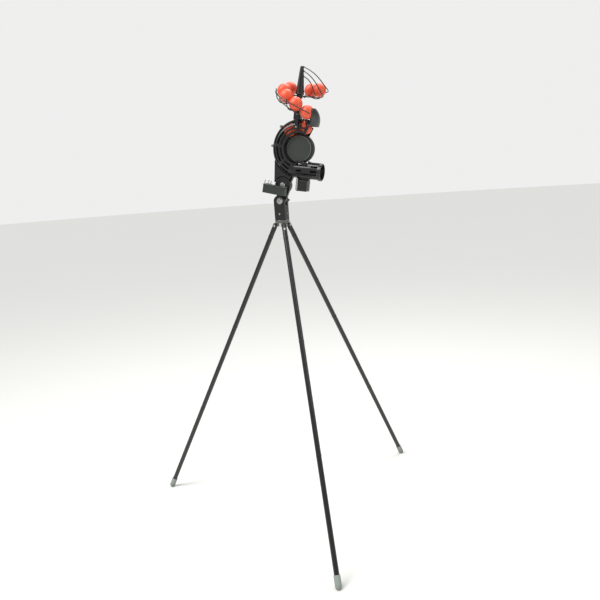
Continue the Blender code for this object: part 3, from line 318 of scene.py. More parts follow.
def grained(name, base, lift, roughness, spread, patch, grain, depth, **constants):
    """A surface with slow patches of tone, and a fine grain in its gloss and relief.

    The patches are lift times as bright as the base at most, and the roughness strays by spread.
    Patch, grain and depth are the patches' size and the grain's size and height in millimetres.
    The tree, its shader, and the place, tone and relief are returned for what is laid over them.
    """
    material = bpy.data.materials.new(name)
    material.use_nodes = True
    tree = material.node_tree
    shader = tree.nodes["Principled BSDF"]
    for key, value in constants.items():
        shader.inputs[key.replace("_", " ")].default_value = value
    place = add(tree, "ShaderNodeTexCoord").outputs["Object"]
    slow = add(tree, "ShaderNodeTexNoise", {
        "Vector": place, "Scale": 1 / (patch * MM), "Detail": 4.0})
    fine = add(tree, "ShaderNodeTexNoise", {
        "Vector": place, "Scale": 1 / (grain * MM), "Detail": 2.0})
    light = tuple(min(1.0, c * lift) for c in base)
    tone = add(tree, "ShaderNodeMix", {
        "Factor": slow.outputs["Fac"], "A": (*base, 1), "B": (*light, 1)}, data_type="RGBA")
    both = add(tree, "ShaderNodeMath", {
        0: slow.outputs["Fac"], 1: fine.outputs["Fac"]}, operation="ADD")
    gloss = add(tree, "ShaderNodeMapRange", {
        "Value": both.outputs["Value"], "From Min": 0.6, "From Max": 1.4,
        "To Min": roughness - spread, "To Max": roughness + spread})
    bump = add(tree, "ShaderNodeBump", {
        "Height": fine.outputs["Fac"], "Distance": depth * MM, "Strength": 1.0})
    tree.links.new(tone.outputs["Result"], shader.inputs["Base Color"])
    tree.links.new(gloss.outputs["Result"], shader.inputs["Roughness"])
    tree.links.new(bump.outputs["Normal"], shader.inputs["Normal"])
    return SimpleNamespace(tree=tree, shader=shader, place=place, tone=tone.outputs["Result"],
                           relief=bump.outputs["Normal"])


def ball_skin(name, c):
    # Polyurethane cast in a steel mould: an even orange-red skin, with a soft sheen and paler
    # scuffs
    look = grained(name, c.ball, lift=1.12, roughness=0.40, spread=0.06, patch=16.0, grain=0.9,
                   depth=0.03, Subsurface_Weight=0.06, Subsurface_Scale=0.002, IOR=1.5)
    scuffs = add(look.tree, "ShaderNodeTexNoise", {
        "Vector": look.place, "Scale": 1 / (5 * MM), "Detail": 8.0, "Roughness": 0.7})
    worn = add(look.tree, "ShaderNodeMapRange", {
        "Value": scuffs.outputs["Fac"], "From Min": 0.62, "From Max": 0.75,
        "To Min": 0.0, "To Max": 0.28})
    pale = add(look.tree, "ShaderNodeMix", {
        "Factor": worn.outputs["Result"], "A": look.tone, "B": (*linear("#f0a283"), 1)},
        data_type="RGBA")
    look.tree.links.new(pale.outputs["Result"], look.shader.inputs["Base Color"])


def leg_paint(name, c):
    # Steel tube, powder coated: satin black with a faint orange peel, so a long soft streak of
    # light runs down it
    grained(name, c.paint, lift=1.35, roughness=0.30, spread=0.04, patch=60.0, grain=1.2,
            depth=0.012, Coat_Weight=0.25, Coat_Roughness=0.2)


def neck_coat(name, c):
    # Machined aluminium block, powder coated in a fine grain: nearly matte, with small bright
    # pits
    grained(name, c.coat, lift=1.4, roughness=0.44, spread=0.06, patch=14.0, grain=0.7,
            depth=0.04)


def nylon(name, c):
    # Glass-filled nylon from a spark-eroded mould: black, clouded by the flow of the melt, with
    # bright edges where the light lies on it
    look = grained(name, c.moulding, lift=1.3, roughness=0.33, spread=0.05, patch=22.0,
                   grain=0.8, depth=0.02, IOR=1.53)
    flow = add(look.tree, "ShaderNodeTexNoise", {
        "Vector": look.place, "Scale": 1 / (9 * MM), "Detail": 6.0, "Distortion": 1.5})
    haze = add(look.tree, "ShaderNodeMapRange", {
        "Value": flow.outputs["Fac"], "From Min": 0.55, "From Max": 0.8,
        "To Min": 0.0, "To Max": 0.35})
    dusty = add(look.tree, "ShaderNodeMix", {
        "Factor": haze.outputs["Result"], "A": look.tone, "B": (*linear("#34383a"), 1)},
        data_type="RGBA")
    look.tree.links.new(dusty.outputs["Result"], look.shader.inputs["Base Color"])


def box_abs(name, c):
    # ABS from an etched mould: dark grey, evenly pebbled, and rubbed smoother along its edges
    look = grained(name, c.box, lift=1.15, roughness=0.46, spread=0.05, patch=25.0, grain=0.6,
                   depth=0.05, IOR=1.53)
    edge = add(look.tree, "ShaderNodeBevel", {"Radius": 0.8 * MM}, samples=4)
    flat = add(look.tree, "ShaderNodeNewGeometry")
    turn = add(look.tree, "ShaderNodeVectorMath", {
        0: edge.outputs["Normal"], 1: flat.outputs["Normal"]}, operation="DOT_PRODUCT")
    rub = add(look.tree, "ShaderNodeMapRange", {
        "Value": turn.outputs["Value"], "From Min": 0.998, "From Max": 0.93,
        "To Min": 0.0, "To Max": 0.45})
    worn = add(look.tree, "ShaderNodeMix", {
        "Factor": rub.outputs["Result"], "A": look.tone, "B": (*linear("#6b716b"), 1)},
        data_type="RGBA")
    look.tree.links.new(worn.outputs["Result"], look.shader.inputs["Base Color"])


def wheel_rings(name, c):
    # Turned and painted disc: dull grey-green, with faint rings left by the tool
    look = grained(name, c.cap, lift=1.12, roughness=0.52, spread=0.05, patch=18.0, grain=0.7,
                   depth=0.02)
    centred = add(look.tree, "ShaderNodeMapping", {
        "Vector": look.place, "Location": tuple(-x for x in WHEEL_CENTRE)})
    # the tool's marks are 0.1 mm apart on the real disc, and are drawn 1.4 mm apart so that they
    # show. A ring texture repeats 20 times in each 2 pi of its scaled place
    rings = add(look.tree, "ShaderNodeTexWave", {
        "Vector": centred.outputs["Vector"], "Scale": 2 * math.pi / (20 * 1.4 * MM),
        "Distortion": 0.4}, wave_type="RINGS", rings_direction="Y")
    ridge = add(look.tree, "ShaderNodeBump", {
        "Height": rings.outputs["Fac"], "Distance": 0.02 * MM, "Normal": look.relief})
    look.tree.links.new(ridge.outputs["Normal"], look.shader.inputs["Normal"])
    # the raised lip is painted pale out from 38.4 mm: a painted highlight where the disc's edge
    # catches the light
    flat = add(look.tree, "ShaderNodeVectorMath", {
        0: centred.outputs["Vector"], 1: (1.0, 0.0, 1.0)}, operation="MULTIPLY")
    out = add(look.tree, "ShaderNodeVectorMath", {0: flat.outputs["Vector"]}, operation="LENGTH")
    lip = add(look.tree, "ShaderNodeMapRange", {
        "Value": out.outputs["Value"], "From Min": 38.4 * MM, "From Max": 39.0 * MM,
        "To Min": 0.0, "To Max": 0.75})
    # painted highlight: the rim is mixed to a pale grey-green
    painted_rim_highlight = add(look.tree, "ShaderNodeMix", {
        "Factor": lip.outputs["Result"], "A": look.tone, "B": (*linear("#8f968e"), 1)},
        data_type="RGBA")
    look.tree.links.new(painted_rim_highlight.outputs["Result"], look.shader.inputs["Base Color"])


def tyre_rubber(name, c):
    # Rubber ground true on the wheel: matte black, grey where balls have rubbed its tread
    look = grained(name, c.tyre, lift=1.5, roughness=0.76, spread=0.06, patch=6.0, grain=0.5,
                   depth=0.05)
    streaks = add(look.tree, "ShaderNodeMapping", {
        "Vector": look.place, "Scale": (1.0, 12.0, 1.0)})
    grit = add(look.tree, "ShaderNodeTexNoise", {
        "Vector": streaks.outputs["Vector"], "Scale": 1 / (3 * MM), "Detail": 5.0})
    grey = add(look.tree, "ShaderNodeMix", {
        "Factor": grit.outputs["Fac"], "A": look.tone, "B": (*linear("#343432"), 1)},
        data_type="RGBA")
    look.tree.links.new(grey.outputs["Result"], look.shader.inputs["Base Color"])


def zinc_plate(name, c):
    # Steel, zinc plated and passivated: bright, slightly cloudy, with fine drawing lines
    look = grained(name, c.zinc, lift=1.08, roughness=0.32, spread=0.07, patch=5.0, grain=0.4,
                   depth=0.006, Metallic=1.0)
    lines = add(look.tree, "ShaderNodeMapping", {
        "Vector": look.place, "Scale": (1.0, 9.0, 1.0)})
    drawn = add(look.tree, "ShaderNodeTexNoise", {
        "Vector": lines.outputs["Vector"], "Scale": 1 / (1.5 * MM), "Detail": 3.0})
    scored = add(look.tree, "ShaderNodeBump", {
        "Height": drawn.outputs["Fac"], "Distance": 0.01 * MM, "Normal": look.relief})
    look.tree.links.new(scored.outputs["Normal"], look.shader.inputs["Normal"])


def hub_alloy(name, c):
    # Aluminium, turned and anodised: satin mid grey with soft clouds
    grained(name, c.plate, lift=1.15, roughness=0.36, spread=0.05, patch=12.0, grain=0.6,
            depth=0.01, Metallic=0.9)


def chute_gloss(name, c):
    # ABS from a polished mould: deep black with a clear gloss and a slow ripple
    grained(name, c.chute, lift=1.5, roughness=0.2, spread=0.04, patch=20.0, grain=6.0,
            depth=0.03, Coat_Weight=0.4, Coat_Roughness=0.12, IOR=1.53)


def wire_coat(name, c):
    # Steel wire, dip coated: smooth black with slight runs
    grained(name, c.wire, lift=1.4, roughness=0.26, spread=0.05, patch=9.0, grain=2.5,
            depth=0.03, Coat_Weight=0.3, Coat_Roughness=0.15)


def motor_can(name, c):
    # Drawn steel can, blackened: dark, with soft metal highlights
    grained(name, c.motor, lift=1.35, roughness=0.37, spread=0.06, patch=10.0, grain=0.8,
            depth=0.01, Metallic=0.85)


def foot_rubber(name, c):
    # Soft rubber, moulded: dull grey, with earth rubbed in over the lowest 20 mm
    look = grained(name, c.foot, lift=1.1, roughness=0.82, spread=0.05, patch=8.0, grain=0.6,
                   depth=0.06)
    height = add(look.tree, "ShaderNodeSeparateXYZ", {"Vector": look.place})
    blotch = add(look.tree, "ShaderNodeTexNoise", {
        "Vector": look.place, "Scale": 1 / (6 * MM), "Detail": 6.0})
    low = add(look.tree, "ShaderNodeMapRange", {
        "Value": height.outputs["Z"], "From Min": 2 * MM, "From Max": 20 * MM,
        "To Min": 0.75, "To Max": 0.0})
    dirt = add(look.tree, "ShaderNodeMath", {
        0: low.outputs["Result"], 1: blotch.outputs["Fac"]}, operation="MULTIPLY")
    soiled = add(look.tree, "ShaderNodeMix", {
        "Factor": dirt.outputs["Value"], "A": look.tone, "B": (*linear("#5d574b"), 1)},
        data_type="RGBA")
    look.tree.links.new(soiled.outputs["Result"], look.shader.inputs["Base Color"])


def circuit_lacquer(name, c):
    # Glass-epoxy board under green lacquer, with copper tracks that show as paler lines
    look = grained(name, c.board, lift=1.2, roughness=0.3, spread=0.04, patch=10.0, grain=0.5,
                   depth=0.01)
    tracks = add(look.tree, "ShaderNodeTexBrick", {
        "Vector": look.place, "Scale": 1 / (6 * MM), "Mortar Size": 0.05})
    lines = add(look.tree, "ShaderNodeMix", {
        "Factor": tracks.outputs["Fac"], "A": look.tone, "B": (*linear("#4d9a52"), 1)},
        data_type="RGBA")
    look.tree.links.new(lines.outputs["Result"], look.shader.inputs["Base Color"])


def terminal_brass(name, c):
    # Brass, stamped and tinned thinly: warm yellow metal
    grained(name, c.brass, lift=1.15, roughness=0.3, spread=0.05, patch=3.0, grain=0.4,
            depth=0.005, Metallic=1.0)


def white_ink(name, c):
    # Screen-printed white ink: flat, with slightly uneven cover
    grained(name, c.marking, lift=1.05, roughness=0.6, spread=0.05, patch=1.5, grain=0.3,
            depth=0.004)


def floor_paint(name, c):
    # Painted studio floor: plain, pale and dull
    grained(name, c.floor, lift=1.01, roughness=0.85, spread=0.03, patch=900.0, grain=60.0,
            depth=0.02)


SURFACES = {
    "ball": ("polyurethane_cast", ball_skin),
    "leg_paint": ("powder_coated_steel", leg_paint),
    "neck_coat": ("powder_coated_aluminium", neck_coat),
    "moulding": ("glass_filled_nylon", nylon),
    "box_moulding": ("etched_abs", box_abs),
    "cap_moulding": ("turned_painted_disc", wheel_rings),
    "wheel_rubber": ("ground_rubber", tyre_rubber),
    "plated_steel": ("zinc_plated_steel", zinc_plate),
    "hub_alloy": ("anodised_aluminium", hub_alloy),
    "chute_moulding": ("polished_abs", chute_gloss),
    "wire": ("dip_coated_wire", wire_coat),
    "motor_case": ("blackened_steel", motor_can),
    "foot_rubber": ("moulded_grey_rubber", foot_rubber),
    "board": ("lacquered_board", circuit_lacquer),
    "brass": ("stamped_brass", terminal_brass),
    "ink": ("printed_ink", white_ink),
    "floor": ("painted_floor", floor_paint),
}


def surface(key):
    """The material for a finish, made the first time that it is asked for."""
    name, make = SURFACES[key]
    if name not in bpy.data.materials:
        make(name, bpy.context.scene.bowling_colours)
    return bpy.data.materials[name]


# Pieces

def welded_copy(node, name):
    """Copy of a CAD node with its loose triangles merged into clean faces."""
    obj = bpy.data.objects.new(name, NODES[node].data.copy())
    bpy.context.scene.collection.objects.link(obj)
    only(obj)
    bpy.ops.mesh.customdata_custom_splitnormals_clear()
    bpy.ops.object.mode_set(mode="EDIT")
    bpy.ops.mesh.select_all(action="SELECT")
    bpy.ops.mesh.remove_doubles(threshold=0.002 * MM)
    bpy.ops.mesh.dissolve_limited(angle_limit=math.radians(0.4))
    bpy.ops.object.mode_set(mode="OBJECT")
    return obj


class BOWLING_OT_solid_pieces(Operator):
    """Rounds the edges of every hard piece and gives it its surface"""
    bl_idname = "bowling.solid_pieces"
    bl_label = "Solid pieces"

    def execute(self, context):
        width = context.scene.bowling_sizes.edge_round
        for node in sorted(NODES):
            if "ball" in node or node in ("wire_spiral", "elbow_chute"):
                # another operator replaces it
                NODES[node].data.materials.clear()
                NODES[node].data.materials.append(surface(SLOT_OF[node]))
                continue
            obj = welded_copy(node, node + "_finished")
            round_edges(obj, width * SOFTER.get(node, 1.0))
            modify(obj, "WEIGHTED_NORMAL", keep_sharp=True, weight=60)
            settle(obj, Matrix.Identity(4), BODY_OF[node], SLOT_OF[node], SLOT_OF[node], node)
        return {"FINISHED"}


class BOWLING_OT_balls(Operator):
    """Makes the practice balls, each with a moulded parting seam"""
    bl_idname = "bowling.balls"
    bl_label = "Balls"

    def execute(self, context):
        sizes = context.scene.bowling_sizes
        radius = sizes.ball_diameter / 2 / MM
        unpick()
        bpy.ops.mesh.primitive_uv_sphere_add(segments=64, ring_count=32, radius=radius)
        pattern = bpy.context.object
        pick(pattern, "EDGE", lambda e: all(abs(v.co.z) < 0.01 for v in e.verts))
        bpy.ops.mesh.bevel(offset=0.7, segments=2, affect="EDGES")
        pick(pattern, "VERT", lambda v: abs(v.co.z) < 0.01)
        grow = 1 + sizes.seam_height / MM / radius
        bpy.ops.transform.resize(value=(grow, grow, 1.0))
        smooth(pattern, 60)
        for k, node in enumerate(sorted(n for n in NODES if "ball" in n)):
            low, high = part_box(node)
            centre = (Vector(low) + Vector(high)) / 2
            # each seam lies its own way, as balls roll into place
            turn = (Matrix.Rotation(math.radians(47 * k + 20), 4, "X")
                    @ Matrix.Rotation(math.radians(71 * k), 4, "Y"))
            place = Matrix.Translation(centre) @ turn @ Matrix.Scale(MM, 4)
            ball = stamp(pattern, node + "_smooth", place, BODY_OF[node], "ball", "ball")
            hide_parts(node)
        bpy.data.objects.remove(pattern)
        return {"FINISHED"}


def row(angle, spread=0.0, drop=0.0):
    """Point beside the row of balls, as in the part's source."""
    a = math.radians(angle)
    steepness = (ROW_PITCH / (2 * math.pi) - ROW_LEAN * math.sin(a)) / ROW_R
    z = ROW_START_Z - ROW_PITCH * angle / 360 - ROW_LEAN * math.cos(a)
    r = ROW_R + spread
    return Vector((ROW_X + r * math.cos(a), r * math.sin(a),
                   z - drop * math.hypot(1.0, steepness)))


def post_side(height, sunk):
    """Point on the right side of the feeder's post at a height, sunk into it a little."""
    return Vector((POST_X + POST_HALF_TOP + POST_TAPER * (POST_TOP - height) - sunk, 0, height))


def bent_wire(name, points, radius):
    """Round wire along a smooth curve through points, with closed ends."""
    unpick()
    bpy.ops.curve.primitive_nurbs_path_add()
    obj = bpy.context.object
    obj.name = name
    curve = obj.data
    curve.splines.clear()
    spline = curve.splines.new("NURBS")
    spline.points.add(len(points) - 1)
    for knot, point in zip(spline.points, points):
        knot.co = (*point, 1.0)
    spline.order_u = 4
    spline.use_endpoint_u = True
    spline.resolution_u = 4
    curve.bevel_depth = radius
    curve.bevel_resolution = 3
    curve.use_fill_caps = True
    bpy.ops.object.convert(target="MESH")
    obj = bpy.context.object
    bpy.ops.object.mode_set(mode="EDIT")
    bpy.ops.mesh.select_all(action="SELECT")
    bpy.ops.mesh.remove_doubles(threshold=0.01)
    bpy.ops.mesh.normals_make_consistent(inside=False)
    bpy.ops.object.mode_set(mode="OBJECT")
    smooth(obj, 50)
    return obj


def rail_points(spread, drop, height, end):
    """A wire's points from the post to its end. The lead from the post and the row stop short of
    their shared corner, so that the wire rounds it as a bent one does."""
    start = post_side(height, 0.6)
    corner = row(ROW_FROM, spread, drop)
    middle = (start + corner) / 2 + Vector((10.0, 0, 12.0))
    points = []
    for k in range(LEAD_STEPS - 1):
        t = k / LEAD_STEPS
        points.append(start * (1 - t) ** 2 + middle * 2 * t * (1 - t) + corner * t ** 2)
    for k in range(1, ROW_STEPS + 1):
        points.append(row(ROW_FROM + (ROW_TO - ROW_FROM) * k / ROW_STEPS, spread, drop))
    if end > ROW_TO:
        points += [row(ROW_TO + (end - ROW_TO) * k / 2, spread, drop) for k in (1, 2)]
    return points


def tie_points(angle, weld):
    """A tie's points, from outside the guard wire, round under the two rails."""
    corners = [row(angle, GUARD_OUT + weld, -2.0),
               row(angle, GUARD_OUT + weld - 1.0, RAIL_DROP * 0.5),
               row(angle, RAIL_SPREAD + 4.0, RAIL_DROP + weld - 0.6),
               row(angle, 0.0, RAIL_DROP + weld + 2.4),
               row(angle, -RAIL_SPREAD - 3.0, RAIL_DROP + weld - 0.4)]
    points = []
    for a, b in zip(corners, corners[1:]):
        points += [a, a.lerp(b, 0.33), a.lerp(b, 0.67)]
    return points + corners[-1:]


class BOWLING_OT_wire_feeder(Operator):
    """Bends the feeder's rails and ties from round wire and beads their welds"""
    bl_idname = "bowling.wire_feeder"
    bl_label = "Wire feeder"

    def execute(self, context):
        sizes = context.scene.bowling_sizes
        radius = sizes.wire_diameter / 2 / MM
        weld = 2 * radius - 0.7     # between the middles of wires that are welded across
        pieces = [bent_wire(name, rail_points(*rail), radius) for name, *rail in WIRES]
        pieces += [bent_wire("tie", tie_points(angle, weld), radius) for angle in TIES]
        welds = ((GUARD_OUT + weld / 2, GUARD_DROP), (RAIL_SPREAD + 0.6, RAIL_DROP + weld / 2),
                 (-RAIL_SPREAD, RAIL_DROP + weld / 2))
        for angle in TIES:
            for spread, drop in welds:
                unpick()
                bpy.ops.mesh.primitive_ico_sphere_add(
                    subdivisions=3, radius=sizes.weld_bead / MM, location=row(angle, spread, drop))
                bead = bpy.context.object
                bead.scale = (1.25, 1.0, 0.85)
                smooth(bead, 60)
                pieces.append(bead)
        for _, _, _, height, _ in WIRES:
            # small ferrule where a wire is let into the post
            unpick()
            bpy.ops.mesh.primitive_cylinder_add(
                vertices=24, radius=2.6, depth=3.0, rotation=(0, math.radians(78), 0),
                location=post_side(height, 0.2))
            ferrule = bpy.context.object
            round_edges(ferrule, 0.5)
            pieces.append(ferrule)
        spiral = joined(*pieces)
        spiral.name = "wire_spiral_smooth"
        settle(spiral, at(HEAD, 0, 0, 0), "feeder", "wire", "wire", "wire_spiral")
        return {"FINISHED"}


class BOWLING_OT_elbow(Operator):
    """Softens the elbow chute into one smooth moulding"""
    bl_idname = "bowling.elbow"
    bl_label = "Elbow chute"

    def execute(self, context):
        obj = welded_copy("elbow_chute", "elbow_chute_smooth")
        grain = context.scene.bowling_sizes.chute_wall_softness
        modify(obj, "REMESH", mode="VOXEL", voxel_size=grain, adaptivity=0.0)
        modify(obj, "SMOOTH", factor=0.6, iterations=36)
        only(obj)
        bpy.ops.object.shade_smooth()
        settle(obj, Matrix.Identity(4), "head", "chute_moulding", "chute_moulding", "elbow_chute")
        return {"FINISHED"}


def screw_pattern(radius, height):
    """Pan head with a cross recess, its seat at the origin and its head towards +Z."""
    screw = cylinder("screw", radius, -0.6, height, 40)
    pick(screw, "EDGE", lambda e: all(v.co.z > height - 0.01 for v in e.verts))
    bpy.ops.mesh.bevel(offset=height * 0.55, segments=5, affect="EDGES")
    reach, half, floor = radius * 0.55, radius * 0.13, height * 0.45
    for x, y in ((reach, half), (half, reach)):
        cut_with(screw, bar("arm", (-x, -y, floor), (x, y, height + 1)))
    smooth(screw, 40)
    return screw


def nut_pattern(radius, height):
    """Hexagon nut on a screw's end, with chamfered corners."""
    nut = cylinder("nut", radius, 0.0, height, 6)
    cone = cylinder("cone", radius * 1.3, -1.0, height + 1.0)
    pick(cone, "EDGE", lambda e: all(v.co.z > height for v in e.verts))
    bpy.ops.mesh.bevel(offset=radius * 0.38, segments=1, affect="EDGES")
    modify(nut, "BOOLEAN", operation="INTERSECT", solver="EXACT", object=cone)
    bpy.data.objects.remove(cone)
    stub = cylinder("stub", radius * 0.5, -0.5, height + 1.1, 24)
    round_edges(stub, 0.35)
    joined(nut, stub)
    smooth(nut, 35)
    return nut


class BOWLING_OT_fasteners(Operator):
    """Sets screws and nuts into the box lid, channel, socket, column and neck"""
    bl_idname = "bowling.fasteners"
    bl_label = "Fasteners"

    def execute(self, context):
        radius = context.scene.bowling_sizes.screw_head / 2 / MM
        screw = screw_pattern(radius, 1.9)
        nut = nut_pattern(3.1, 2.4)
        places = {}
        corners = [(x, y) for x in (-54.0, 11.5) for y in (-33.0, -15.0)]
        for k, (x, y) in enumerate(corners, 1):
            place = at(CRADLE, x, y, LID_TOP, Matrix.Scale(0.8, 4))
            places[f"lid_screw_{k}"] = ("cradle", place)
        for k, angle in enumerate((138.0, 179.0), 1):
            x, z = round_wheel(94.8, angle)
            places[f"channel_screw_{k}"] = ("head", at(HEAD, x, -7.0, z, FACE_FRONT))
            stamp(nut, f"channel_nut_{k}", at(HEAD, x, 7.0, z, FACE_BACK), "head",
                  "plated_steel", "plated_steel")
        for k, z in enumerate((66.0, 106.0), 1):
            place = at(HEAD, POST_X + 6.5, -27.95, z, FACE_FRONT)
            places[f"socket_screw_{k}"] = ("head", place)
        for k, angle in enumerate((222.0, 240.0), 1):
            x, z = round_wheel(100, angle)
            places[f"column_screw_{k}"] = ("head", at(HEAD, x, 17.0, z, FACE_BACK))
        places["neck_screw_front"] = ("neck", at(HUB, 0.0, -20.0, 1020.0, FACE_FRONT))
        places["neck_screw_side"] = ("neck", at(HUB, 18.0, 0.0, 1020.0, FACE_RIGHT))
        for name, (body, place) in places.items():
            stamp(screw, name, place, body, "plated_steel", "plated_steel")
        bpy.data.objects.remove(screw)
        bpy.data.objects.remove(nut)
        return {"FINISHED"}


class BOWLING_OT_motor_details(Operator):
    """Adds the motor's end ring, screws and brass terminals"""
    bl_idname = "bowling.motor_details"
    bl_label = "Motor details"

    def execute(self, context):
        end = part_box("motor")[1][1] / MM
        ring = cylinder("motor_end_ring", 14.5, -0.4, 1.6, 64)
        pick(ring, "FACE", lambda f: f.normal.z > 0.9)
        bpy.ops.mesh.inset(thickness=2.6)
        bpy.ops.mesh.extrude_region_move(TRANSFORM_OT_translate={"value": (0, 0, -1.0)})
        round_edges(ring, 0.3)
        settle(ring, at(HEAD, 0, end - 3.0, 0, FACE_BACK), "head", "motor_case", "motor_case")
        tab = bar("terminal", (-2.4, -0.4, 0.0), (2.4, 0.4, 7.0))
        hole = cylinder("hole", 0.8, -3.0, 3.0, 20)
        hole.rotation_euler = (math.radians(90), 0, 0)
        hole.location = (0, 0, 4.8)
        cut_with(tab, hole)
        round_edges(tab, 0.2)
        screw = screw_pattern(2.2, 1.4)
        for k, side in enumerate((-1, 1), 1):
            stamp(tab, f"motor_terminal_{k}", at(HEAD, side * 10.0, end - 3.4, 0, FACE_BACK),
                  "head", "plated_steel", "brass")
            stamp(screw, f"motor_screw_{k}", at(HEAD, 0, end - 3.0, side * 8.0, FACE_BACK),
                  "head", "plated_steel", "plated_steel")
        bpy.data.objects.remove(tab)
        bpy.data.objects.remove(screw)
        return {"FINISHED"}


class BOWLING_OT_box_details(Operator):
    """Prints the speed dial's scale and pointer, and adds the switch's nut"""
    bl_idname = "bowling.box_details"
    bl_label = "Control box details"

    def execute(self, context):
        sizes = context.scene.bowling_sizes
        tick = bar("tick", (-0.16, SCALE_RADIUS, -0.02),
                   (0.16, SCALE_RADIUS + sizes.tick_length / MM, 0.06))
        for k in range(10):
            angle = math.radians(DIAL_START - DIAL_STEP * k)
            turn = READ_BEHIND @ Matrix.Rotation(angle, 4, "Z")
            stamp(tick, f"dial_tick_{k}", at(CRADLE, *DIAL_CENTRE, turn), "cradle",
                  "box_moulding", "ink")
        bpy.data.objects.remove(tick)
        for digit, x, y in (("1", -10.6, -10.2), ("5", -11.8, 4.6), ("9", 10.6, -10.2)):
            unpick()
            bpy.ops.object.text_add(location=(x, y, -0.02))
            text = bpy.context.object
            text.data.body = digit
            text.data.size = sizes.digit_height / MM
            text.data.extrude = 0.05
            text.data.align_x = "CENTER"
            text.data.align_y = "CENTER"
            bpy.ops.object.convert(target="MESH")
            text = bpy.context.object
            text.name = "dial_number_" + digit
            settle(text, at(CRADLE, *DIAL_CENTRE, READ_BEHIND), "cradle", "box_moulding", "ink")
        pointer = bar("dial_pointer", (-0.35, 2.5, -0.1), (0.35, 7.2, 0.12))
        round_edges(pointer, 0.08)
        x, _, z = DIAL_CENTRE
        start = READ_BEHIND @ Matrix.Rotation(math.radians(DIAL_START), 4, "Z")
        settle(pointer, at(CRADLE, x, -0.5, z, start), "dial", "moulding", "ink")
        nut = nut_pattern(4.6, 1.6)
        stamp(nut, "switch_nut", at(CRADLE, -39.5, -24.0, LID_TOP, Matrix.Scale(0.98, 4)),
              "cradle", "plated_steel", "plated_steel")
        bpy.data.objects.remove(nut)
        return {"FINISHED"}


class BOWLING_OT_battery_details(Operator):
    """Adds the battery's grip ribs"""
    bl_idname = "bowling.battery_details"
    bl_label = "Battery details"

    def execute(self, context):
        rib = bar("grip", (-0.5, -11.0, -0.7), (0.5, 11.0, 0.7))
        round_edges(rib, 0.35)
        for side, x in (("left", 1.0), ("right", 37.0)):
            for k in range(4):
                stamp(rib, f"battery_grip_{side}_{k}", at(HEAD, x, 0, -112.0 - 4.0 * k),
                      "battery", "moulding", "moulding")
        bpy.data.objects.remove(rib)
        return {"FINISHED"}


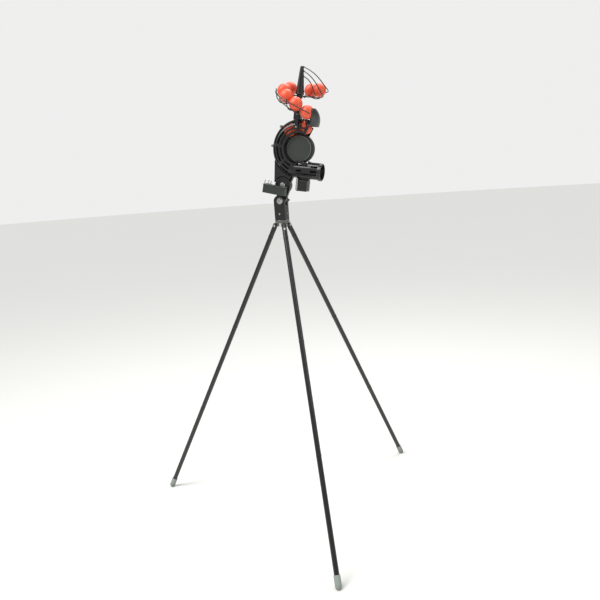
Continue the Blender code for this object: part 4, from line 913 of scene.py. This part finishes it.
class BOWLING_OT_stage(Operator):
    """Lays the pale floor, hangs the soft lights and sets up the camera"""
    bl_idname = "bowling.stage"
    bl_label = "Stage"

    def execute(self, context):
        scene = context.scene
        unpick()
        bpy.ops.mesh.primitive_circle_add(vertices=96, radius=FLOOR_RADIUS, fill_type="NGON")
        floor = context.object
        floor.name = "floor"
        floor.data.materials.append(surface("floor"))

        for name, place, width, power, aim in LAMPS:
            light = bpy.data.lights.new(name, "AREA")
            light.size = width
            light.energy = power
            lamp = bpy.data.objects.new(name, light)
            scene.collection.objects.link(lamp)
            lamp.location = place
            facing = Vector(aim) - Vector(place)
            lamp.rotation_euler = facing.to_track_quat("-Z", "Y").to_euler()
        sun = bpy.data.lights.new("daylight", "SUN")
        sun.energy = SUN_STRENGTH
        sun.angle = math.radians(SUN_WIDTH)
        lamp = bpy.data.objects.new("daylight", sun)
        scene.collection.objects.link(lamp)
        lamp.rotation_euler = Vector(SUN_AIM).to_track_quat("-Z", "Y").to_euler()

        scene.world = bpy.data.worlds.new("studio_air")
        scene.world.use_nodes = True
        tree = scene.world.node_tree
        path = add(tree, "ShaderNodeLightPath")
        direct = add(tree, "ShaderNodeMath", {
            0: path.outputs["Is Camera Ray"], 1: path.outputs["Is Transmission Ray"]},
            operation="MAXIMUM")
        bounced = add(tree, "ShaderNodeMix", {
            "Factor": path.outputs["Is Glossy Ray"], "A": AIR, "B": REFLECTED_AIR},
            data_type="RGBA")
        shown = add(tree, "ShaderNodeMix", {
            "Factor": direct.outputs["Value"], "A": bounced.outputs["Result"], "B": BACKDROP},
            data_type="RGBA")
        tree.links.new(shown.outputs["Result"], tree.nodes["Background"].inputs["Color"])
        tree.nodes["Background"].inputs["Strength"].default_value = 1.0

        camera = bpy.data.cameras.new("camera")
        camera.lens = CAMERA_LENS
        camera.sensor_width = CAMERA_SENSOR
        camera.clip_end = 200.0
        view = bpy.data.objects.new("camera", camera)
        scene.collection.objects.link(view)
        view.matrix_world = (Matrix.Translation(CAMERA_PLACE)
                             @ Matrix.Rotation(math.radians(CAMERA_TURN), 4, "Z")
                             @ Matrix.Rotation(math.radians(CAMERA_TIP), 4, "X")
                             @ Matrix.Rotation(math.radians(CAMERA_ROLL), 4, "Z"))
        scene.camera = view
        scene.view_settings.view_transform = "Standard"
        return {"FINISHED"}


class BOWLING_PT_panel(Panel):
    """Lists the bowling machine's pieces, colours and sizes"""
    bl_label = "Bowling Machine"
    bl_space_type = "VIEW_3D"
    bl_region_type = "UI"
    bl_category = "Bowling Machine"

    def draw(self, context):
        for operator in OPERATORS:
            self.layout.operator(operator.bl_idname)
        for group in (context.scene.bowling_colours, context.scene.bowling_sizes):
            for key in group.bl_rna.properties.keys():
                if key not in ("rna_type", "name"):
                    self.layout.prop(group, key)


OPERATORS = (BOWLING_OT_solid_pieces, BOWLING_OT_balls, BOWLING_OT_wire_feeder,
             BOWLING_OT_elbow, BOWLING_OT_fasteners, BOWLING_OT_motor_details,
             BOWLING_OT_box_details, BOWLING_OT_battery_details, BOWLING_OT_stage)
CLASSES = (BowlingColours, BowlingSizes) + OPERATORS + (BOWLING_PT_panel,)


def register():
    for item in CLASSES:
        bpy.utils.register_class(item)
    bpy.types.Scene.bowling_colours = PointerProperty(type=BowlingColours)
    bpy.types.Scene.bowling_sizes = PointerProperty(type=BowlingSizes)


def unregister():
    del bpy.types.Scene.bowling_sizes
    del bpy.types.Scene.bowling_colours
    for item in reversed(CLASSES):
        bpy.utils.unregister_class(item)


def main():
    register()
    for operator in OPERATORS:
        group, name = operator.bl_idname.split(".")
        getattr(getattr(bpy.ops, group), name)()
    unpick()


if __name__ == "__main__":
    main()
